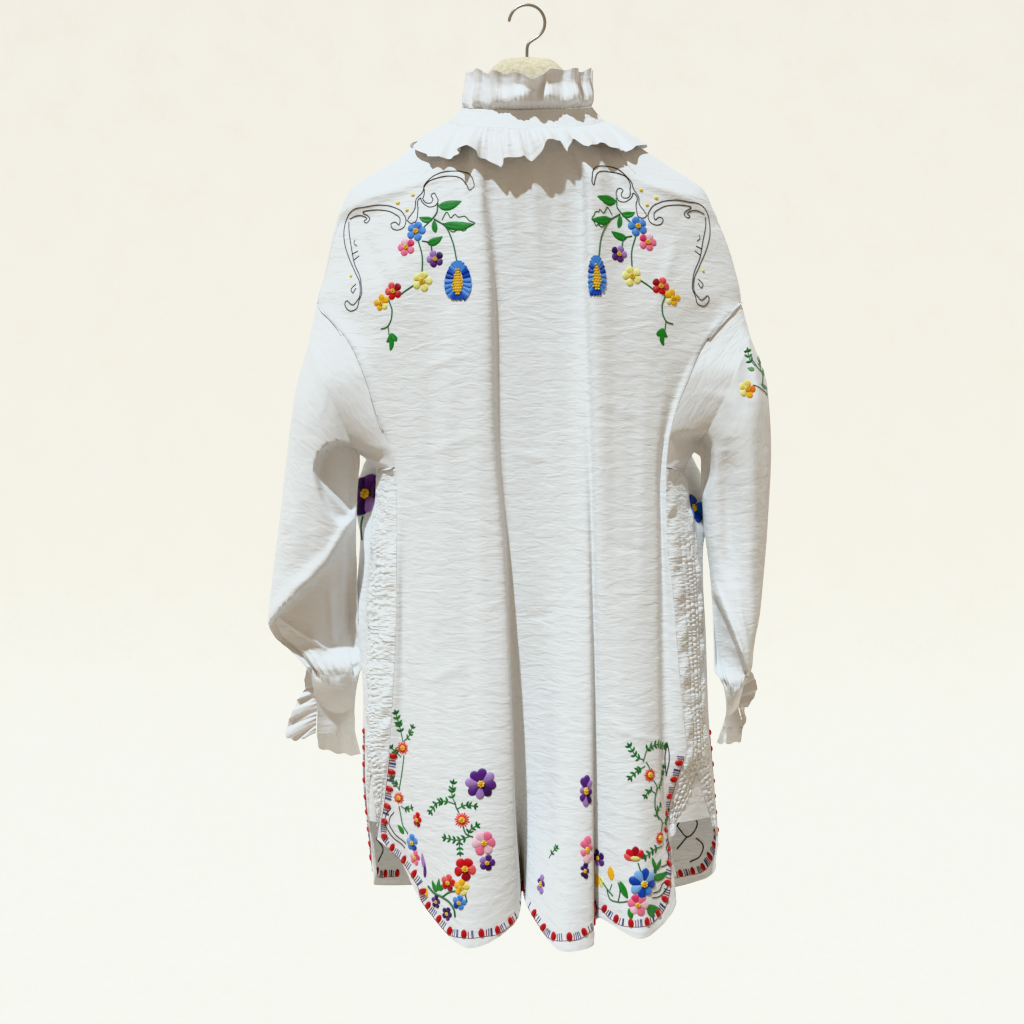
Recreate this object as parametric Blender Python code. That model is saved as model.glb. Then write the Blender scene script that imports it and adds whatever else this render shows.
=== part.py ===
"""Embroidered cotton dress on a padded hanger, seen from behind at azimuth 0.

The cloth is cut pieces with real walls. Every piece is a stretch of one closed ring of fold
lines that run from the neck to the hem, so neighbours share their edge and stay a seam gap apart.
Sizes in the tables are millimetres; the mesh is made in metres. X is to the right as seen from
behind, Y goes from the back of the dress to its front, and Z is up from the inside of the hook.
"""
import math

import bmesh
import bpy
import numpy as np

MM = 0.001
WALL = 1.2             # thickness of a cloth wall
FRILL_WALL = 1.0       # thickness of a ruffle's wall
SEAM = 0.3             # gap between two pieces at a seam

# Fold lines of the dress from its back's left seam, round the back and the front and home again.
# Each knot is (drop below the hook, x, y). Between two lines the cloth turns in a smooth curve.
FOLD_LINES = (
    ("back_seam_left", ((128, -78, -13), (162, -92, -34), (186, -104, -42), (202, -145, -36),
                        (215, -187, -14), (231, -198, -3), (286, -212, -2), (311, -219, -2),
                        (327, -207, -16), (357, -183, -34), (396, -165, -42), (432, -154, -42),
                        (457, -143, -42), (498, -134, -42), (542, -133, -44), (620, -133, -48),
                        (721, -137, -48), (773, -141, -44), (826, -148, -34), (868, -155, -24))),
    ("left_roll", ((130, -76, -18), (184, -89, -48), (221, -132, -42), (272, -170, -30),
                   (317, -188, -26), (376, -158, -44), (432, -138, -46), (498, -126, -46),
                   (620, -126, -44), (742, -127, -46), (824, -129, -44), (887, -129, -40))),
    ("left_turn", ((135, -69, -29), (195, -81, -50), (235, -111, -50), (316, -141, -50),
                   (397, -129, -50), (498, -115, -50), (640, -113, -52), (781, -113, -56),
                   (928, -104, -58))),
    ("left_crest", ((138, -60, -38), (196, -64, -56), (277, -80, -58), (378, -88, -58),
                    (498, -80, -58), (659, -74, -62), (797, -65, -74), (961, -57, -86))),
    ("left_ridge", ((141, -52, -44), (177, -54, -60), (239, -46, -66), (308, -40, -68),
                    (439, -38, -66), (579, -26, -64), (719, -19, -66), (839, -15, -66),
                    (942, -12, -62))),
    ("valley_left", ((143, -46, -47), (175, -45, -52), (235, -36, -50), (305, -31, -50),
                     (438, -28, -50), (579, -17, -46), (724, -9, -28), (835, -3, 10),
                     (939, 1, 58))),
    ("middle_edge", ((144, -38, -51), (195, -32, -50), (305, -24, -48), (437, -18, -49),
                     (579, -8, -50), (720, -1, -54), (821, 3, -58), (936, 4, -62))),
    ("middle_crest", ((147, -8, -58), (195, 2, -52), (304, 13, -47), (438, 21, -50),
                      (579, 29, -56), (738, 34, -68), (965, 35, -86))),
    ("middle_fold", ((145, 29, -54), (195, 47, -50), (304, 51, -46), (438, 56, -52),
                     (579, 61, -60), (738, 63, -68), (962, 64, -76))),
    ("valley_right", ((144, 36, -52), (195, 54, -50), (304, 56, -47), (438, 61, -50),
                      (579, 63, -52), (741, 64, -50), (955, 64, -46))),
    ("right_ridge", ((143, 43, -49), (199, 60, -66), (308, 63, -68), (439, 66, -64),
                     (579, 69, -60), (740, 71, -60), (939, 72, -60))),
    ("right_crest", ((139, 57, -41), (197, 79, -58), (277, 93, -58), (378, 103, -58),
                     (498, 105, -58), (659, 107, -62), (798, 109, -72), (953, 111, -82))),
    ("right_turn", ((136, 66, -33), (195, 88, -50), (235, 118, -50), (316, 146, -50),
                    (397, 138, -48), (498, 129, -50), (640, 130, -52), (780, 131, -58),
                    (945, 134, -66))),
    ("right_roll", ((131, 74, -22), (184, 96, -48), (221, 137, -42), (272, 175, -30),
                    (317, 194, -26), (376, 164, -42), (432, 145, -40), (498, 136, -38),
                    (621, 138, -38), (743, 140, -42), (823, 138, -48), (926, 150, -54))),
    ("back_seam_right", ((127, 78, -13), (158, 92, -34), (185, 109, -42), (201, 147, -36),
                         (215, 186, -14), (231, 201, -3), (270, 215, -2), (309, 223, -2),
                         (323, 213, -16), (360, 181, -34), (396, 164, -42), (432, 150, -42),
                         (457, 144, -42), (498, 141, -42), (557, 142, -44), (613, 148, -46),
                         (688, 154, -46), (742, 159, -44), (773, 162, -42), (810, 152, -38),
                         (841, 145, -36), (861, 146, -38), (901, 151, -40))),
    ("right_side", ((122, 81, 0), (146, 115, 0), (170, 152, 0), (194, 187, 2), (214, 196, 3),
                    (231, 203, 4), (270, 217, 4), (309, 225, 4), (331, 212, 8), (360, 190, 8),
                    (432, 165, 0), (480, 159, -10), (520, 160, -20), (560, 166, -22),
                    (640, 171, -26), (720, 174, -28), (773, 176, -28), (800, 175, -24),
                    (851, 174, -18))),
    ("front_seam_right", ((124, 78, 12), (158, 98, 34), (190, 124, 36), (231, 158, 32),
                          (258, 173, 28), (286, 193, 22), (309, 219, 12), (323, 211, 22),
                          (360, 183, 34), (396, 167, 38), (432, 158, 34), (480, 166, 20),
                          (520, 172, 8), (560, 178, 0), (640, 184, -6), (742, 186, -10),
                          (773, 189, -8), (810, 194, -2), (841, 197, 4), (880, 202, 8),
                          (905, 200, 14))),
    ("front_right_roll", ((128, 75, 22), (190, 104, 42), (250, 134, 40), (320, 172, 36),
                          (396, 152, 44), (480, 158, 44), (560, 178, 26), (640, 187, 14),
                          (742, 191, 8), (810, 196, 12), (860, 200, 20), (925, 193, 34))),
    ("front_right", ((140, 60, 34), (200, 84, 50), (320, 112, 50), (480, 116, 58), (640, 126, 66),
                     (800, 134, 72), (950, 138, 78))),
    ("front_right_valley", ((152, 40, 44), (220, 52, 50), (320, 62, 46), (480, 66, 50),
                            (640, 70, 56), (800, 72, 62), (952, 74, 70))),
    ("front_middle", ((162, 0, 52), (240, 0, 56), (320, 0, 54), (480, 0, 60), (640, 0, 68),
                      (800, 0, 76), (946, 0, 84))),
    ("front_left_valley", ((152, -40, 44), (220, -52, 50), (320, -62, 46), (480, -66, 50),
                           (640, -70, 56), (800, -72, 64), (944, -74, 74))),
    ("front_left", ((140, -60, 34), (200, -84, 50), (320, -112, 50), (480, -112, 58),
                    (640, -120, 64), (800, -126, 66), (940, -128, 62))),
    ("front_left_roll", ((128, -75, 22), (190, -102, 42), (250, -132, 40), (320, -168, 36),
                         (396, -150, 44), (480, -150, 44), (560, -158, 28), (640, -166, 18),
                         (742, -172, 8), (800, -173, 10), (860, -169, 16), (928, -162, 20))),
    ("front_seam_left", ((124, -78, 12), (158, -96, 34), (190, -122, 36), (231, -156, 32),
                         (258, -172, 28), (287, -192, 22), (311, -217, 12), (327, -206, 22),
                         (357, -185, 34), (396, -167, 38), (432, -158, 34), (480, -158, 20),
                         (520, -160, 6), (560, -163, -2), (640, -166, -10), (742, -166, -20),
                         (800, -166, -18), (860, -164, -8), (915, -160, 4))),
    ("left_side", ((122, -81, 0), (146, -115, 0), (170, -152, 0), (194, -187, 2),
                   (214, -196, 3), (231, -202, 4), (286, -214, 4), (311, -221, 4),
                   (335, -206, 8), (360, -186, 6), (432, -166, 0), (480, -152, -10),
                   (520, -151, -18), (560, -153, -24), (640, -156, -28), (720, -158, -34),
                   (773, -159, -36), (800, -160, -32), (860, -162, -20))),
)
LINE = {row[0]: index for index, row in enumerate(FOLD_LINES)}
LINES = len(FOLD_LINES)

# Rows of the dress: drops that every piece shares, so that neighbours have the same edges.
ROW_DROPS = (170, 186, 202, 215, 231, 258, 285, 311, 340, 369, 398, 427, 456, 486,
             538, 590, 642, 695, 748, 800, 825, 850)
NECK_ROWS = 2                                          # rows between the neck seam and the first drop
HEM_ROWS = 2                                           # rows between the last drop and the hem
FOOT_ROW = NECK_ROWS + len(ROW_DROPS) - 1              # lower edge of the side gussets
LAST_ROW = FOOT_ROW + HEM_ROWS                         # the hem
TIP_ROW = NECK_ROWS + ROW_DROPS.index(311)             # point of the dropped shoulder
ARM_ROW = NECK_ROWS + ROW_DROPS.index(486)             # lowest point of the armhole
SLIT_ROW = NECK_ROWS + ROW_DROPS.index(800)            # head of the side slit
SLIT_ROWS = NECK_ROWS + ROW_DROPS.index(340)           # rows that the neck slit cuts
CASING = 0.3                                           # width of a slit casing, in fold lines

NECK_STAND = 24        # height of the neckband at the centre back
NECK_FRONT = 16        # height of the neckband at the sides and the front
NECK_DEPTH = 58        # how far behind the neck's middle its centre back lies
NECK_TAPER = 0.83      # width of the neckband's top against its bottom
FRONT_GAP = 0.04       # half the front opening, in fold lines

# Ruffles: depth, waves along it, how far a wave swings in or out at its free edge.
COLLAR_RUFFLE = dict(height=37, waves=17, swing=5.0)
COLLAR_DRIFT = 1.6     # slow drift of the collar ruffle's edge, under its waves
COLLAR_INSET = 0.6     # how far inside the neckband's face the collar ruffle stands
COLLAR_LIFT = 0.8      # gap between the neckband's top and the collar ruffle
SHOULDER_RUFFLE = dict(height=37, waves=19, swing=6.0)
RUFFLE_ROOT = 0.14     # share of the neckband's height where the shoulder ruffle leaves it
RUFFLE_FALL = 62       # slope of the shoulder ruffle behind and before the neck, in degrees
RUFFLE_SPREAD = 40     # how much flatter it lies over the shoulders
RUFFLE_STAND = 5.0     # how far its edge stands off the cloth
RUFFLE_DRIFT = 2.0     # slow drift of its edge

PUCKERS_PER_ROW = 4    # shirring puckers between two rows of a side panel
SHIRR_LIFT = 1.6       # height of a pucker
SLEEVE_ROWS = 12
SLEEVE_GATHERS = 7     # gathers round a sleeve above its cuff
GATHER_SWING = 2.2     # how far a gather stands in or out at the cuff
GATHER_START = 0.78    # share of the sleeve's length where the gathers begin
HOLLOW_RIM = 0.3       # width of the underarm hollow's upper rim, as a share of its size
HOLLOW_SLACK = 0.5     # how much wider its lower rim is
FOLD_SLOPE = 0.75      # distance from the blouse fold, for each millimetre of drop
FOLD_WIDTH = 10        # width of the step at the blouse fold

# Sleeves: each section is a loop from its outer point to its inner point.
# (outer x, outer drop, inner x, inner drop, middle y, depth behind, depth in front, sag)
LEFT_SLEEVE = (
    (-229, 353, -176, 470, 2, 38, 34, 0),
    (-243, 402, -176, 478, 4, 40, 36, 0),
    (-253, 472, -179, 512, 6, 38, 34, 0),
    (-261, 542, -180, 556, 6, 36, 32, 0),
    (-268, 594, -180, 600, 8, 34, 30, 0),
    (-273, 646, -178, 646, 8, 34, 30, 0),
    (-267, 662, -176, 668, 8, 34, 28, 2),
    (-250, 676, -175, 680, 8, 30, 26, 6),
    (-231, 695, -174, 690, 8, 24, 22, 10),
)
RIGHT_SLEEVE = (
    (234, 345, 176, 468, 2, 38, 34, 0),
    (253, 402, 183, 474, 4, 40, 36, 0),
    (257, 472, 184, 498, 6, 36, 34, 0),
    (254, 542, 187, 545, 8, 32, 32, 0),
    (250, 594, 193, 594, 8, 30, 30, 0),
    (245, 640, 196, 640, 6, 30, 28, 0),
    (240, 662, 197, 672, 4, 30, 28, 2),
    (235, 690, 198, 694, 2, 28, 26, 6),
    (229, 702, 205, 706, 0, 26, 26, 8),
)
# Underarm hollow in each sleeve's back: (centre x, centre drop, half width, half height, depth)
LEFT_HOLLOW = (-199, 500, 29, 46, 24)
RIGHT_HOLLOW = (172, 478, 22, 44, 16)
# Blouse fold across each sleeve's back: the cloth above (x, drop) lies over the cloth below it.
LEFT_BLOUSE = ((-175, 524), (-186, 552), (-206, 586), (-226, 606), (-250, 628), (-272, 650))
RIGHT_BLOUSE = ((180, 560), (186, 600), (200, 626), (212, 656), (224, 690), (232, 706))
BLOUSE_STEP = 14       # how far the upper cloth stands off the lower
BLOUSE_FADE = 70       # how far below the fold the cloth comes out again

# Cuff bands: the open loop of a band seen from above, from its back edge round to its front edge.
LEFT_CUFF = ((-222, -18), (-205, -24), (-191, -18), (-185, 0), (-191, 20), (-206, 27), (-224, 18))
RIGHT_CUFF = ((230, -15), (222, -23), (212, -19), (208, 0), (212, 20), (222, 25), (230, 17))
CUFF_FEET = (756, 762)     # drop of the left and right band's lower edge
CUFF_HEIGHT = 52           # height of a cuff band
CUFF_GAP = 0.7         # gap between a sleeve's gathered end and its band
CUFF_RUFFLE = dict(height=20, waves=9, swing=3.5)
CUFF_FLARE = 2.0       # how far the hem ruffle's edge stands outside the band
EDGE_RUFFLE = dict(height=22, waves=4, swing=4.0)
EDGE_GAP = 1.0         # gap between the band's back edge and its edge ruffle
EDGE_TOP = 2           # how far below the band's top the edge ruffle begins
EDGE_SLANT = 6         # how much lower the edge ruffle's free edge hangs

# Padded hanger: (x, drop of its top, height, half depth) from the middle to the shoulder tip.
HANGER = ((0, 53, 66, 17), (22, 55, 68, 17), (38, 66, 66, 16), (50, 88, 52, 15),
          (62, 109, 40, 14), (80, 128, 28, 13), (115, 151, 24, 12), (148, 174, 20, 10),
          (172, 192, 16, 7), (184, 204, 8, 4))
HANGER_SIDES = 12
HOOK_WIRE = 1.75       # radius of the hook's wire
HOOK_BEND = 17         # inside radius of the hook

WHITE = dict(color=(0.86, 0.87, 0.88), roughness=0.85)
CREAM = dict(color=(0.80, 0.75, 0.62), roughness=0.95)
STEEL = dict(color=(0.62, 0.62, 0.60), roughness=0.3, metallic=1.0)


def slopes(t, v):
    """Slopes of a smooth curve through the knots that never overshoots them."""
    step = np.diff(t)
    rise = np.diff(v) / step
    slope = np.empty_like(v)
    slope[0], slope[-1] = rise[0], rise[-1]
    same = rise[:-1] * rise[1:] > 0
    mean = 3 * (step[:-1] + step[1:])
    with np.errstate(divide="ignore", invalid="ignore"):
        inner = mean / ((2 * step[1:] + step[:-1]) / rise[:-1] + (step[1:] + 2 * step[:-1]) / rise[1:])
    slope[1:-1] = np.where(same, inner, 0.0)
    return slope


def follow(t, v, at):
    """Value of the smooth curve through the knots (t, v) at each place; level beyond the ends."""
    t, v = np.asarray(t, float), np.asarray(v, float)
    at = np.clip(at, t[0], t[-1])
    k = np.clip(np.searchsorted(t, at, side="right") - 1, 0, len(t) - 2)
    h = t[k + 1] - t[k]
    s = (at - t[k]) / h
    m = slopes(t, v)
    return ((1 + 2 * s) * (1 - s) ** 2 * v[k] + s * (1 - s) ** 2 * h * m[k]
            + s * s * (3 - 2 * s) * v[k + 1] + s * s * (s - 1) * h * m[k + 1])


def ring(u, drop):
    """Points of the dress at place u round the ring of fold lines and at a drop below the hook.

    A cubic runs through the two nearest lines on each side, with knots spaced by the root of
    their distance, so that the cloth neither loops nor kinks between close lines.
    """
    u, drop = np.broadcast_arrays(np.asarray(u, float), np.asarray(drop, float))
    k = np.floor(u).astype(int)
    f = u - k
    knots = []
    for offset in (-1, 0, 1, 2):
        which = (k + offset) % LINES
        x, y = np.zeros(u.shape), np.zeros(u.shape)
        for index in np.unique(which):
            here = which == index
            line = np.array(FOLD_LINES[index][1], float)
            x[here] = follow(line[:, 0], line[:, 1], drop[here])
            y[here] = follow(line[:, 0], line[:, 2], drop[here])
        knots.append(np.stack([x, y], -1))
    a, b, c, d = knots
    t1 = np.sqrt(np.linalg.norm(b - a, axis=-1)) + 0.05
    t2 = t1 + np.sqrt(np.linalg.norm(c - b, axis=-1)) + 0.05
    t3 = t2 + np.sqrt(np.linalg.norm(d - c, axis=-1)) + 0.05
    t = (t1 + f * (t2 - t1))[..., None]
    t1, t2, t3 = t1[..., None], t2[..., None], t3[..., None]
    p1 = (t1 - t) / t1 * a + t / t1 * b
    p2 = (t2 - t) / (t2 - t1) * b + (t - t1) / (t2 - t1) * c
    p3 = (t3 - t) / (t3 - t2) * c + (t - t2) / (t3 - t2) * d
    q1 = (t2 - t) / t2 * p1 + t / t2 * p2
    q2 = (t3 - t) / (t3 - t1) * p2 + (t - t1) / (t3 - t1) * p3
    xy = (t2 - t) / (t2 - t1) * q1 + (t - t1) / (t2 - t1) * q2
    return np.concatenate([xy, -drop[..., None]], -1)


def line_end(index, last):
    """Drop of the first or last knot of the fold line with this number."""
    return FOLD_LINES[index % LINES][1][-1 if last else 0][0]


def along_lines(u, last):
    """Drop of the neckline or the hem at place u, smooth from line to line."""
    u = np.asarray(u, float)
    reach = np.arange(math.floor(u.min()) - 2, math.ceil(u.max()) + 3)
    return follow(reach, [line_end(i, last) for i in reach], u)


def row_drop(u, row):
    """Drop of a whole row at place u: level rows between the neck rows and the hem rows."""
    row = np.clip(row, 0, LAST_ROW)
    top = along_lines(u, False)
    hem = along_lines(u, True)
    neck = top + (ROW_DROPS[0] - top) * row / NECK_ROWS
    level = np.interp(row - NECK_ROWS, np.arange(len(ROW_DROPS)), ROW_DROPS)
    foot = ROW_DROPS[-1] + (hem - ROW_DROPS[-1]) * (row - FOOT_ROW) / HEM_ROWS
    return np.where(row < NECK_ROWS, neck, np.where(row > FOOT_ROW, foot, level))


def skin(u, row):
    """Points of the dress at place u and row; straight between two rows, so that seams agree."""
    u, row = np.broadcast_arrays(np.asarray(u, float), np.asarray(row, float))
    low = np.clip(np.floor(row), 0, LAST_ROW - 1)
    share = (row - low)[..., None]
    return ring(u, row_drop(u, low)) * (1 - share) + ring(u, row_drop(u, low + 1)) * share


def unit(vector):
    """The vectors at length one."""
    return vector / np.maximum(np.linalg.norm(vector, axis=-1, keepdims=True), 1e-9)


def cloth(u, row):
    """Points of the dress's outer face and the outward direction there."""
    across = skin(u + 0.02, row) - skin(u - 0.02, row)
    down = skin(u, row + 0.2) - skin(u, row - 0.2)
    return skin(u, row), unit(np.cross(down, across))


def seam_step(u, row, gap):
    """How much of u makes this gap in millimetres at each place."""
    span = np.linalg.norm(skin(u + 0.02, row) - skin(u - 0.02, row), axis=-1) / 0.04
    return gap / np.maximum(span, 2.0)


def walk(points):
    """Distance walked along a path, from zero."""
    return np.concatenate([[0], np.cumsum(np.linalg.norm(np.diff(points, axis=0), axis=1))])


def material(name, look):
    """A plain Principled material in the given colour."""
    made = bpy.data.materials.get(name) or bpy.data.materials.new(name)
    made.use_nodes = True
    shader = made.node_tree.nodes["Principled BSDF"]
    shader.inputs["Base Color"].default_value = (*look["color"], 1.0)
    shader.inputs["Roughness"].default_value = look["roughness"]
    shader.inputs["Metallic"].default_value = look.get("metallic", 0.0)
    return made


def add_mesh(name, mesh_data, look, collection):
    """Put a finished mesh into the collection as one named object."""
    mesh = bpy.data.meshes.new(name)
    if isinstance(mesh_data, bmesh.types.BMesh):
        mesh_data.to_mesh(mesh)
        mesh_data.free()
    mesh.materials.append(material(name + "_finish", look))
    mesh.shade_smooth()
    mesh.set_sharp_from_angle(angle=math.radians(50))
    piece = bpy.data.objects.new(name, mesh)
    collection.objects.link(piece)
    return piece


def halves(outer, loop):
    """The two triangles of a cell, cut along its shorter diagonal."""
    a, b, c, d = loop
    corner = outer.reshape(-1, 3)
    if np.linalg.norm(corner[a] - corner[c]) <= np.linalg.norm(corner[b] - corner[d]):
        return (a, b, c), (a, c, d)
    return (a, b, d), (b, c, d)


def wall(name, outer, inner, look, collection, keep=None, closed=False):
    """A closed cloth wall between two grids of points (rows down, columns round, millimetres).

    keep says which cells of the grid are cloth; the rest is cut away through the wall. With
    closed the last column meets the first, as on a tube. The rims are closed with narrow faces.
    """
    rows, columns = outer.shape[:2]
    spans = columns if closed else columns - 1
    if keep is None:
        keep = np.ones((rows - 1, spans), bool)
    count = rows * columns
    index = np.arange(count).reshape(rows, columns)
    made = bmesh.new()
    verts = [made.verts.new(p) for p in np.concatenate([outer.reshape(-1, 3), inner.reshape(-1, 3)]) * MM]
    edges = {}
    for r in range(rows - 1):
        for c in range(spans):
            if not keep[r, c]:
                continue
            n = (c + 1) % columns
            loop = (index[r, c], index[r + 1, c], index[r + 1, n], index[r, n])
            for one in halves(outer, loop):
                made.faces.new([verts[i] for i in one])
                made.faces.new([verts[i + count] for i in reversed(one)])
            for a, b in zip(loop, loop[1:] + loop[:1]):
                if (b, a) in edges:
                    del edges[(b, a)]
                else:
                    edges[(a, b)] = True
    for a, b in edges:
        made.faces.new([verts[b], verts[a], verts[a + count], verts[b + count]])
    loose = [v for v in made.verts if not v.link_faces]
    bmesh.ops.delete(made, geom=loose, context="VERTS")
    bmesh.ops.recalc_face_normals(made, faces=made.faces)
    return add_mesh(name, made, look, collection)


def panel(name, u, row, collection, keep=None, lift=None, gap=SEAM / 2):
    """A panel of the dress between its first and last column, over the given rows.

    Its sides are set back by half a seam gap, so that it never touches its neighbour.
    """
    u, row = (one.copy() for one in np.broadcast_arrays(np.asarray(u, float), np.asarray(row, float)))
    u[:, 0] += seam_step(u[:, 0], row[:, 0], gap)
    u[:, -1] -= seam_step(u[:, -1], row[:, -1], gap)
    point, out = cloth(u, row)
    raised = 0 if lift is None else lift[..., None]
    return wall(name, point + out * raised, point - out * WALL, WHITE, collection, keep=keep)


def even(first, last, per_line, extra=()):
    """Places round the ring, so many to a fold line, with extra ones where detail is needed."""
    count = int(round((last - first) * per_line))
    return np.unique(np.round(np.concatenate([np.linspace(first, last, count + 1), extra]), 6))


def neck_rows(last_row):
    """Whole rows as a column, the first set just below the neck seam."""
    rows = np.arange(last_row + 1.0)
    rows[0] = 0.02
    return rows[:, None]


def make_back(collection):
    columns = even(LINE["back_seam_left"], LINE["back_seam_right"], 2)
    panel("back_panel", columns[None, :], neck_rows(LAST_ROW), collection)


def make_front(collection):
    middle = LINE["front_middle"]
    slit = (middle - FRONT_GAP, middle + FRONT_GAP)
    columns = even(LINE["front_seam_right"], LINE["front_seam_left"], 2, slit)
    columns = columns[np.abs(columns - middle) > FRONT_GAP / 2]
    cells = np.ones((LAST_ROW, len(columns) - 1), bool)
    gap = int(np.argmin(np.abs(columns - slit[0])))
    cells[:SLIT_ROWS, gap] = False
    panel("front_panel", columns[None, :], neck_rows(LAST_ROW), collection, keep=cells)


def side_start(side):
    """Place of the first seam of a side zone; its second seam is two fold lines further."""
    return LINE["back_seam_right"] if side == "right" else LINE["front_seam_left"]


def make_yoke(side, collection):
    """The shoulder piece, from the back seam over the shoulder to the front seam."""
    columns = even(side_start(side), side_start(side) + 2, 2)
    rows = neck_rows(TIP_ROW)
    rows[-1] -= 0.02
    panel("shoulder_yoke_" + side, columns[None, :], rows, collection, gap=SEAM)


def casing_width(row):
    """Width of a slit casing in fold lines: both meet at the slit's head and narrow below it."""
    head = np.interp(row, (SLIT_ROW - 0.6, SLIT_ROW), (0.5, 0.96))
    return np.where(row <= SLIT_ROW, head, np.interp(row, (SLIT_ROW, FOOT_ROW), (0.96, CASING)))


def make_side_panel(side, collection):
    """The shirred strip down the side, with the two casings that run on along the slit."""
    first = side_start(side)
    per_row = 2 * PUCKERS_PER_ROW
    count = int(round((FOOT_ROW + 0.5 - ARM_ROW) * per_row))
    rows = ARM_ROW + np.arange(count + 1) / per_row
    split = int(round((SLIT_ROW - ARM_ROW) * per_row))
    rows[0] += 0.008
    width = casing_width(rows)
    columns = np.stack([0 * rows, width, 0 * rows + 1, 2 - width, 0 * rows + 2], axis=1)
    lift = np.zeros(columns.shape)
    lift[1::2, 1:-1] = SHIRR_LIFT
    lift[2::2, 2] = SHIRR_LIFT * 0.6
    cells = np.ones((count, 4), bool)
    cells[split:, 1:3] = False
    panel("side_panel_" + side, first + columns, rows[:, None] + 0 * columns, collection,
          keep=cells, lift=lift)


def make_gusset(side, collection):
    """The plain triangle set into the head of the side slit."""
    rows = np.linspace(SLIT_ROW + 0.12, FOOT_ROW, 6)
    inset = casing_width(rows) + 0.02
    share = np.linspace(0, 1, 6)
    columns = side_start(side) + inset[:, None] + (2 - 2 * inset)[:, None] * share[None, :]
    panel("slit_gusset_" + side, columns, rows[:, None] + 0 * columns, collection)


def neck_path(u):
    """Bottom edge of the neckband: the dress's own neckline."""
    return ring(u, along_lines(u, False))


def neck_point(u, height):
    """Outer face of the neckband at a share of its height, narrowing towards its top."""
    base = neck_path(u)
    scale = 1 - (1 - NECK_TAPER) * height
    point = base * np.stack([scale, scale, np.ones_like(scale)], -1)
    behind = np.clip(-base[..., 1] / NECK_DEPTH, 0, 1)
    point[..., 2] += height * (NECK_FRONT + (NECK_STAND - NECK_FRONT) * behind)
    return point


def neck_columns():
    """Places once round the neck, two to a fold line, from one side of the opening to the other."""
    middle = LINE["front_middle"]
    inner = even(middle + 0.5, middle + LINES - 0.5, 2)
    return np.concatenate([[middle + FRONT_GAP], inner, [middle + LINES - FRONT_GAP]])


def neck_walk(count):
    """Even steps once round the neckband: their share of the way and their places."""
    middle = LINE["front_middle"]
    u = np.linspace(middle + FRONT_GAP, middle + LINES - FRONT_GAP, 8 * LINES + 1)
    walked = walk(neck_path(u))
    share = np.linspace(0, 1, count)
    return share, np.interp(share * walked[-1], walked, u)


def flat_out(point, u):
    """Level direction away from the neck, square to the neckline within one fold line of it."""
    along = neck_path(u + 0.5) - neck_path(u - 0.5)
    out = unit(np.stack([along[..., 1], -along[..., 0], np.zeros(u.shape)], -1))
    return out * np.sign((out * point).sum(-1, keepdims=True))


def ruffle_wall(name, outer, toward, collection):
    """A ruffle's wall: its inner face lies one wall's thickness behind the outer one."""
    out = unit(np.cross(np.gradient(outer, axis=0), np.gradient(outer, axis=1)))
    out *= np.sign((out * toward).sum())
    wall(name, outer, outer - out * FRILL_WALL, WHITE, collection)


def make_neckband(collection):
    u = neck_columns()
    heights = np.array([1.0, 0.5, 0.0])
    outer = np.stack([neck_point(u, np.full(u.shape, h)) for h in heights])
    out = flat_out(outer[1], u)
    wall("neckband", outer, outer - out[None] * WALL, WHITE, collection)


def make_collar_ruffle(collection):
    """The standing ruffle on the neckband: waves swing wider towards its upper edge."""
    size = COLLAR_RUFFLE
    share, u = neck_walk(size["waves"] * 6 + 1)
    root = neck_point(u, np.ones(u.shape))
    out = flat_out(root, u)
    turn = 2 * np.pi * share
    grids = []
    for height in (1.0, 0.5, 0.0):
        swing = size["swing"] * height * np.sin(size["waves"] * turn)
        drift = COLLAR_DRIFT * height * np.sin(5.3 * turn + 1.3)
        point = root + out * (swing + drift - COLLAR_INSET)[:, None]
        point[:, 2] += COLLAR_LIFT + size["height"] * height * (1 + 0.05 * np.sin(9 * turn))
        grids.append(point)
    ruffle_wall("collar_ruffle", np.stack(grids), out[None], collection)


def make_shoulder_ruffle(collection):
    """The falling ruffle: it leaves the neckband's foot and spreads over the shoulders."""
    size = SHOULDER_RUFFLE
    share, u = neck_walk(size["waves"] * 6 + 1)
    root = neck_point(u, np.full(u.shape, RUFFLE_ROOT))
    out = flat_out(root, u)
    fall = np.radians(RUFFLE_FALL - RUFFLE_SPREAD * out[:, 0] ** 2)
    down = np.array([0, 0, -1.0])
    lay = out * np.cos(fall)[:, None] + down * np.sin(fall)[:, None]
    face = out * np.sin(fall)[:, None] - down * np.cos(fall)[:, None]
    turn = 2 * np.pi * share
    grids = []
    for reach in (0.0, 0.5, 1.0):
        swing = size["swing"] * reach * np.sin(size["waves"] * turn)
        lift = SEAM + FRILL_WALL + reach * (RUFFLE_STAND + RUFFLE_DRIFT * np.sin(7 * turn + 1))
        grids.append(root + out * SEAM + lay * (size["height"] * reach) + face * (swing + lift)[:, None])
    ruffle_wall("shoulder_ruffle", np.stack(grids), face[None], collection)


def armhole_places(side):
    """Places and rows round an armhole: shoulder, back edge down, underarm, front edge up."""
    steps = np.arange(2 * (ARM_ROW - TIP_ROW) + 1) / 2
    middle = LINE["right_side"] if side == "right" else LINE["left_side"]
    behind = np.full(len(steps), LINE["back_seam_" + side])
    before = np.full(len(steps), LINE["front_seam_" + side])
    u = np.concatenate([[middle], behind, [middle], before])
    row = np.concatenate([[TIP_ROW], TIP_ROW + steps, [ARM_ROW], ARM_ROW - steps])
    return u.astype(float), row.astype(float)


def hollow(x, drop, spot):
    """Depth of the underarm hollow at a place on the sleeve's back, steep along its upper rim."""
    centre_x, centre_drop, wide, high, depth = spot
    dx, dz = (x - centre_x) / wide, (drop - centre_drop) / high
    radius = np.sqrt(dx * dx + dz * dz)
    rim = HOLLOW_RIM + HOLLOW_SLACK * np.clip(dz, 0, 1)
    share = np.clip((1 - radius) / rim, 0, 1)
    return depth * share * share * (3 - 2 * share)


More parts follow.
